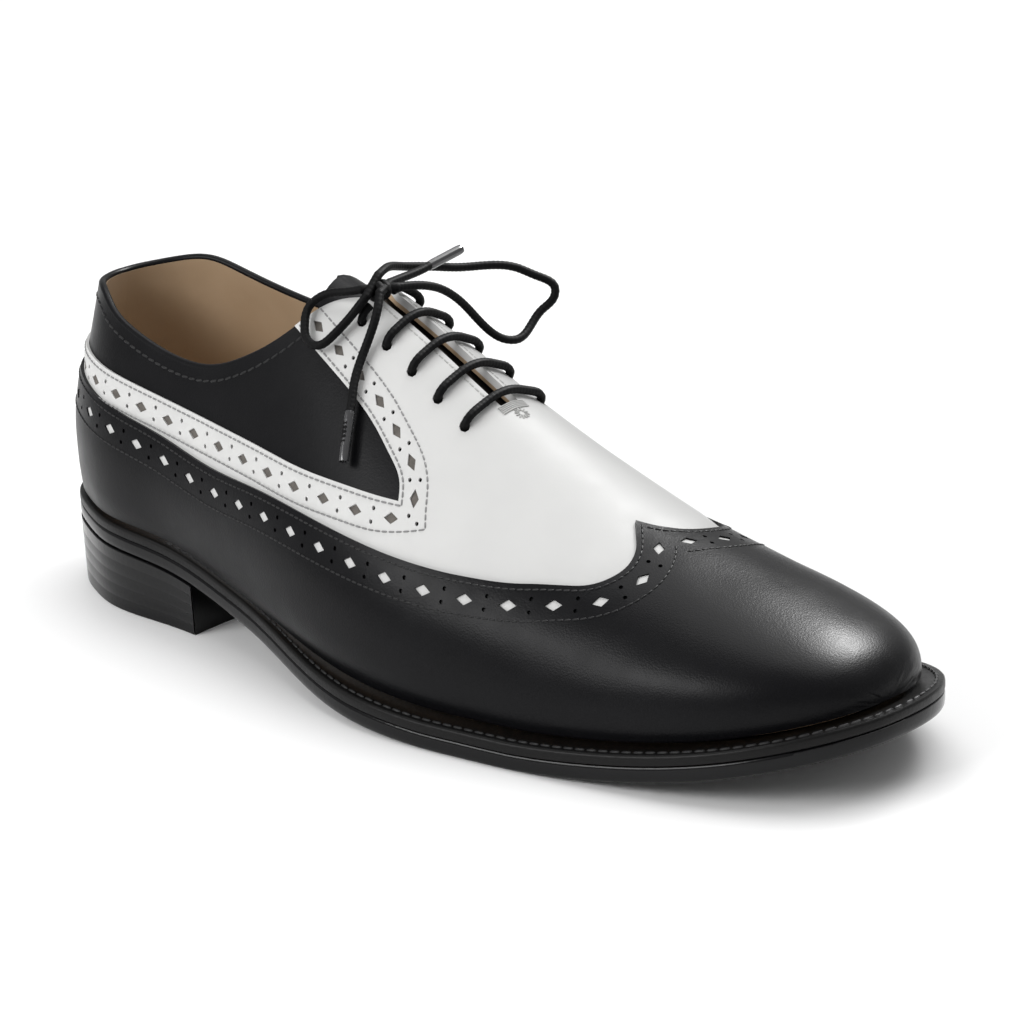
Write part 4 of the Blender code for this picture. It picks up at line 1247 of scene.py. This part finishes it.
throat_end = THROAT_SEWN * PATH_UNIT
tack_parts = []
for step in TACK_ROWS:
    across = np.linspace(-TACK_REACH, TACK_REACH, 7)
    line = on_last(np.column_stack([np.full(7, throat_end + step), across]), TACK_LIFT)
    tack_parts.append(tube_parts(line, THREAD, around=6))
star = np.array([throat_end + STAR_BELOW, 0.0])
star_scale = np.ravel(last_frame(star[:1], np.array([0.02]))[2:])
for turn in np.arange(12) * np.pi / 6:
    way = np.array([np.cos(turn), np.sin(turn)]) / star_scale
    ends = on_last(np.array([star + way * reach for reach in STAR_RAY]), STAR_LIFT)
    tack_parts.append(capsules(ends[:1], ends[1:], np.array([[-0.3, 0, 1.0]]), THREAD, THREAD))
stitched("throat_tack", tack_parts, white_thread)


def backs(name, holes, height, material):
    """Patches seen at the bottom of punched holes, one small patch for each, in the given
    material; the black and the grey ones are painted shade and painted light.
    """
    verts, faces = [], []
    for hole in holes:
        middle = hole.mean(axis=0)
        grown = middle + (hole - middle) * 1.12
        points, normals, _, _ = last_frame(*grown.T)
        lift = height(grown, points) if callable(height) else height
        faces.append(tuple(range(len(verts), len(verts) + len(hole))))
        verts.extend(points + normals * np.broadcast_to(lift, len(hole))[:, None] - LAST_ORIGIN)
    smooth_mesh(name, np.array(verts), faces, material)


# Painted light and shade: grey patches with a soft mottle cover the black collar quarter in the
# band's diamonds. They are lighter than that quarter and stand for the black leather as it looks
# when lit.
painted_light_backing = Shader("painted_light_grey", (0.11, 0.10, 0.09), 0.7, specular=0.2)
painted_light_backing.set("Base Color", painted_light_backing.blend(painted_light_backing.noise(1.5 * MM, 3.0), (0.07, 0.064, 0.058),
                                          (0.17, 0.155, 0.14)))
# Painted shade: black patches under the wing's dots lie over the white leather that runs on
# beneath them, so that the small holes look dark.
backs("wing_dot_painted_shade", dots, lambda at, points: wing_height(at, points) - DOT_DEPTH,
      black_calf)
backs("wing_diamond_backs", diamonds, lambda at, points: wing_height(at, points) - DIAMOND_DEPTH,
      white_calf)
# The band's diamonds get these patches of painted light over the black quarter.
backs("band_diamond_painted_light", band_diamonds, BAND_HOLE, painted_light_backing.material)

# Lace through the eyelets: four bars lie over the tongue from facing to facing, and two
# leads rise from the top eyelets into the knot. It is the same waxed braid as the bow.
BAR_DEPTH = 3.1 * MM
BAR_RISE = LACE / 2 + 0.45 * MM
BAR_HALF = 3.9 * MM
EYELET_TURN = ((0, -BAR_DEPTH), (0, -0.9 * MM), (0.4 * MM, 0.9 * MM), (1.6 * MM, BAR_RISE))
OUTER_LEAD = ((125.4, -9.3, 102.1),)
INNER_LEAD = ((124.4, 6.6, 102.8), (124.8, 3.4, 104.4), (125.5, -0.6, 104.4))


def on_leather(path, out, rise):
    """Point a way out from the ridge along the leather, raised over its face."""
    across = out / step_across(path, np.sign(out) * 0.06)
    points, normals, _, _ = last_frame(path, across)
    return points[0] + normals[0] * rise


def eyelet_turn(path, out):
    """Points of the lace out of an eyelet and over its edge, towards the throat."""
    inward = -np.sign(out)
    return [on_leather(path, out + inward * step, rise) for step, rise in EYELET_TURN]


def lace_piece(name, points):
    """A stretch of the lace that stands for the solid of its name."""
    line = cord_line(np.array(points) / MM, CORD_STEP)
    thing = smooth_mesh(name, *tube_parts(line, LACE / 2, braid=BRAID_RELIEF), lace.material)
    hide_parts(name)


for row in range(1, 5):
    halves = []
    for side in SIDES:
        path = eyelets(side)[row][0]
        spread = EYELET_SPREADS[row]
        half = eyelet_turn(path, side * spread)
        half += [on_leather(path, side * out, BAR_RISE) for out in (0.6 * spread, BAR_HALF)]
        halves.append(half)
    lace_piece(f"lace_bar_{row}", halves[0] + halves[1][::-1])
for name, side, ends in (("outer_lead", LATERAL, OUTER_LEAD),
                         ("inner_lead", MEDIAL, INNER_LEAD)):
    lead = eyelet_turn(eyelets(side)[0][0], side * EYELET_SPREADS[0])
    lace_piece(name, lead + [np.array(end) * MM for end in ends])

# Welt: a strip of waxed black leather, sewn to the upper and to the sole, that stands out
# all round the front and is a narrow smooth rand round the heel.
OUTSOLE = 4.6 * MM
WELT = 3.0 * MM
EDGE_HEEL = 1.3 * MM
EDGE_FOREFOOT = 6.5 * MM
GAP = 0.3 * MM
WELT_STITCHES = 2.2 * MM
WELT_PITCH = 3.4 * MM
WELT_STITCH = 2.9 * MM
WELT_THREAD = (0.5 * MM, 0.45 * MM)
edge_ink = Shader("edge_ink", (0.0028, 0.0028, 0.0032), 0.2, specular=0.22)
edge_ink.set("Roughness", edge_ink.noise(7 * MM, 4.0) * 0.14 + 0.10)
edge_ink.bump(edge_ink.noise(1.6 * MM, 3.0), 0.05 * MM)
welt_wax = Shader("welt_wax", (0.0035, 0.0033, 0.0033), 0.42, specular=0.18)
welt_wax.set("Roughness", welt_wax.noise(4 * MM, 3.0) * 0.2 + 0.3)
welt_wax.bump(welt_wax.noise(0.8 * MM, 3.0), 0.08 * MM)


def path_at(x):
    """Path length of the straight section that stands at x."""
    return SIDE_START + x - HEEL_AXIS


def feather_line(path, side, out):
    """Points of the sole's outline: the feather edge moved out in plan."""
    def plan(at):
        """Points on the feather edge."""
        return half_sections(at, side)[:, 0, :]
    small = 0.05 * MM
    ahead = plan(np.minimum(path + small, PATH_END)) - plan(path - small)
    ahead[:, 2] = 0
    ahead /= np.linalg.norm(ahead, axis=1)[:, None]
    away = np.column_stack([ahead[:, 1], -ahead[:, 0], 0 * path]) * -side
    away[path < 1e-7] = (-1, 0, 0)
    away[path > PATH_END - 1e-7] = (1, 0, 0)
    return plan(path) + away * np.broadcast_to(out, path.shape)[:, None]


def edge_width(path):
    """How far the sole's edge stands out from the upper."""
    blend = smooth_step(path, path_at(0.33 * LAST_LENGTH), path_at(0.55 * LAST_LENGTH))
    return EDGE_HEEL + (EDGE_FOREFOOT - EDGE_HEEL) * blend


def over_sole(height):
    """Height function of a level over the outsole's underside."""
    return lambda x: underside(x) + height


def edged_plate(name, path, width, profile, low, high, material, hollow=0.0, ribs=9):
    """Plate across the foot whose edge has a profile of shares of height and insets."""
    share = np.linspace(0, 1, ribs)[1:-1]
    sides = {}
    for side in SIDES:
        column = []
        for rise, inset in profile:
            points = feather_line(path, side, width - inset)
            points[:, 2] = low(points[:, 0]) * (1 - rise) + high(points[:, 0]) * rise
            column.append(points)
        sides[side] = np.array(column)
    outer, inner = sides[LATERAL], sides[MEDIAL]

    def across(row, height, flip):
        """Points between the two sides at one level, from the outer side unless flipped."""
        ribs_here = []
        for s in (share[::-1] if flip else share):
            points = outer[row] * (1 - s) + inner[row] * s
            points[:, 2] = height(points[:, 0])
            ribs_here.append(points)
        return np.array(ribs_here)
    loop = np.concatenate([outer, across(-1, low, False), inner[::-1], across(0, high, True)])
    count, rows = loop.shape[:2]
    if hollow:
        reach = np.abs(loop[:, -1, 1] - loop[:, -1, 1].mean())
        loop[:, -1, 0] -= hollow * (1 - (reach / reach.max()) ** 2)
    verts = loop.transpose(1, 0, 2).reshape(-1, 3)
    faces = wall_faces(rows, count)
    if path[-1] < PATH_END - 1e-7:
        base, depth = (rows - 1) * count, len(profile)
        bottom = [depth - 1 + i for i in range(ribs)]
        top = [0] + [count - 1 - i for i in range(ribs - 2)] + [depth * 2 + ribs - 3]
        for i in range(ribs - 1):
            faces.append((base + top[i], base + top[i + 1], base + bottom[i + 1],
                          base + bottom[i]))
    plate = smooth_mesh(name, verts - LAST_ORIGIN, faces, material)
    return close_seams(plate, 0.01 * MM, 40, sliver=0.001 * MM)


sole_path = np.concatenate([np.linspace(0, TOE_START, 130),
                            np.linspace(TOE_START, PATH_END, 45)[1:]])
WELT_PROFILE = ((1, 1.1 * MM), (0.95, 0.45 * MM), (0.82, 0.1 * MM), (0.65, 0), (0.25, 0),
                (0.08, 0.12 * MM), (0, 0.5 * MM))
welt = edged_plate("welt", sole_path, edge_width(sole_path), WELT_PROFILE,
                   over_sole(OUTSOLE + GAP / 2), over_sole(OUTSOLE + GAP + WELT),
                   welt_wax.material)
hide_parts("welt")

welt_rows = []
front = np.concatenate([np.linspace(path_at(60 * MM), TOE_START, 90),
                        np.linspace(TOE_START, PATH_END, 60)[1:]])
for side in SIDES:
    line = feather_line(front, side, edge_width(front) - WELT_STITCHES)
    line[:, 2] = underside(line[:, 0]) + STACK - GAP + 0.08 * MM
    run = run_along(line)
    starts = np.arange(0, run[-1] - 3.2 * MM, WELT_PITCH)
    first, last = (at_run(line, run, at) - LAST_ORIGIN for at in (starts, starts + WELT_STITCH))
    welt_rows.append(capsules(first, last, np.tile([0, 0, 1.0], (len(first), 1)), *WELT_THREAD))
stitched("welt_stitches", welt_rows, black_thread)

# Sole and heel: a leather sole with a burnished, slightly rounded edge, and a block of
# pressed leather lifts with a hollow breast, nailed up under its back.
HEEL_BREAST = 72.8 * MM
BREAST_HOLLOW = 2.0 * MM
LIFTS = 5
LIFT_IN = 0.12 * MM
SOLE_PROFILE = ((1, 0.45 * MM), (0.93, 0.12 * MM), (0.8, 0), (0.45, 0), (0.2, 0.15 * MM),
                (0.07, 0.5 * MM), (0, 1.1 * MM))
outsole = edged_plate("outsole", sole_path, edge_width(sole_path), SOLE_PROFILE, underside,
                      over_sole(OUTSOLE), edge_ink.material)
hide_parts("outsole")

heel_profile = [(1, 0.25 * MM)]
for lift in range(LIFTS):
    top, low = 1 - lift / LIFTS, 1 - (lift + 1) / LIFTS
    inset = LIFT_IN * lift
    heel_profile += [(top - 0.012, inset), (low + 0.012, inset + LIFT_IN)]
    if lift < LIFTS - 1:
        heel_profile.append((low, inset + 0.19 * MM))
heel_profile += [(0.008, 0.75 * MM), (0, 1.1 * MM)]
back = np.append(sole_path[sole_path < path_at(HEEL_BREAST) - 1.5 * MM], path_at(HEEL_BREAST))
heel = edged_plate("heel", back, edge_width(back), heel_profile, np.zeros_like,
                   over_sole(-0.02 * MM), edge_ink.material, hollow=BREAST_HOLLOW)
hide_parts("heel")

# Insole: a thin tan sock of lining leather, glued over the cork that fills the bottom, and
# cut to lie inside the upper.
SOCK = 2.5 * MM
SOCK_IN = 4.7 * MM
SOCK_PROFILE = ((1, 0.5 * MM), (0.85, 0.1 * MM), (0.5, 0), (0, 0))
sock = edged_plate("insole", sole_path, np.full(len(sole_path), -SOCK_IN), SOCK_PROFILE,
                   over_sole(STACK), over_sole(STACK + SOCK), lining_leather)
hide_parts("insole")

# Studio: a white sweep of paper under a white sky, with a broad soft light overhead, a
# weaker one on the outer side, and a small one behind that only makes the leather shine.
paper = Shader("white_paper", (0.93, 0.93, 0.93), 0.7)
floor_mesh = bpy.data.meshes.new("floor")
floor_mesh.from_pydata([(-3, -3, 0), (3, -3, 0), (3, 3, 0), (-3, 3, 0)], [], [(0, 1, 2, 3)])
floor_mesh.materials.append(paper.material)
floor = bpy.data.objects.new("floor", floor_mesh)
scene.collection.objects.link(floor)
world = bpy.data.worlds.new("studio")
world.use_nodes = True
world.node_tree.nodes["Background"].inputs["Color"].default_value = (1, 1, 1, 1)
world.node_tree.nodes["Background"].inputs["Strength"].default_value = 0.42
scene.world = world
scene.view_settings.view_transform = "Standard"


def soft_light(name, place, target, size, power):
    """Rectangular light at a place, turned to its target."""
    data = bpy.data.lights.new(name, "AREA")
    data.shape = "RECTANGLE"
    data.size, data.size_y = size
    data.energy = power
    light = bpy.data.objects.new(name, data)
    light.location = place
    light.rotation_euler = (Vector(target) - Vector(place)).to_track_quat("-Z", "Y").to_euler()
    scene.collection.objects.link(light)
    return light


soft_light("top_light", (-0.2, 0.8, 2.6), (0, 0.2, 0), (3.2, 2.4), 62)
soft_light("side_light", (-0.3, -1.2, 0.8), (-0.02, 0, 0.05), (1.0, 0.5), 13)
back_light = soft_light("back_light", (0.08, 0.8, 0.95), (0.1, 0, 0.04), (0.3, 0.2), 26)
back_light.visible_diffuse = False
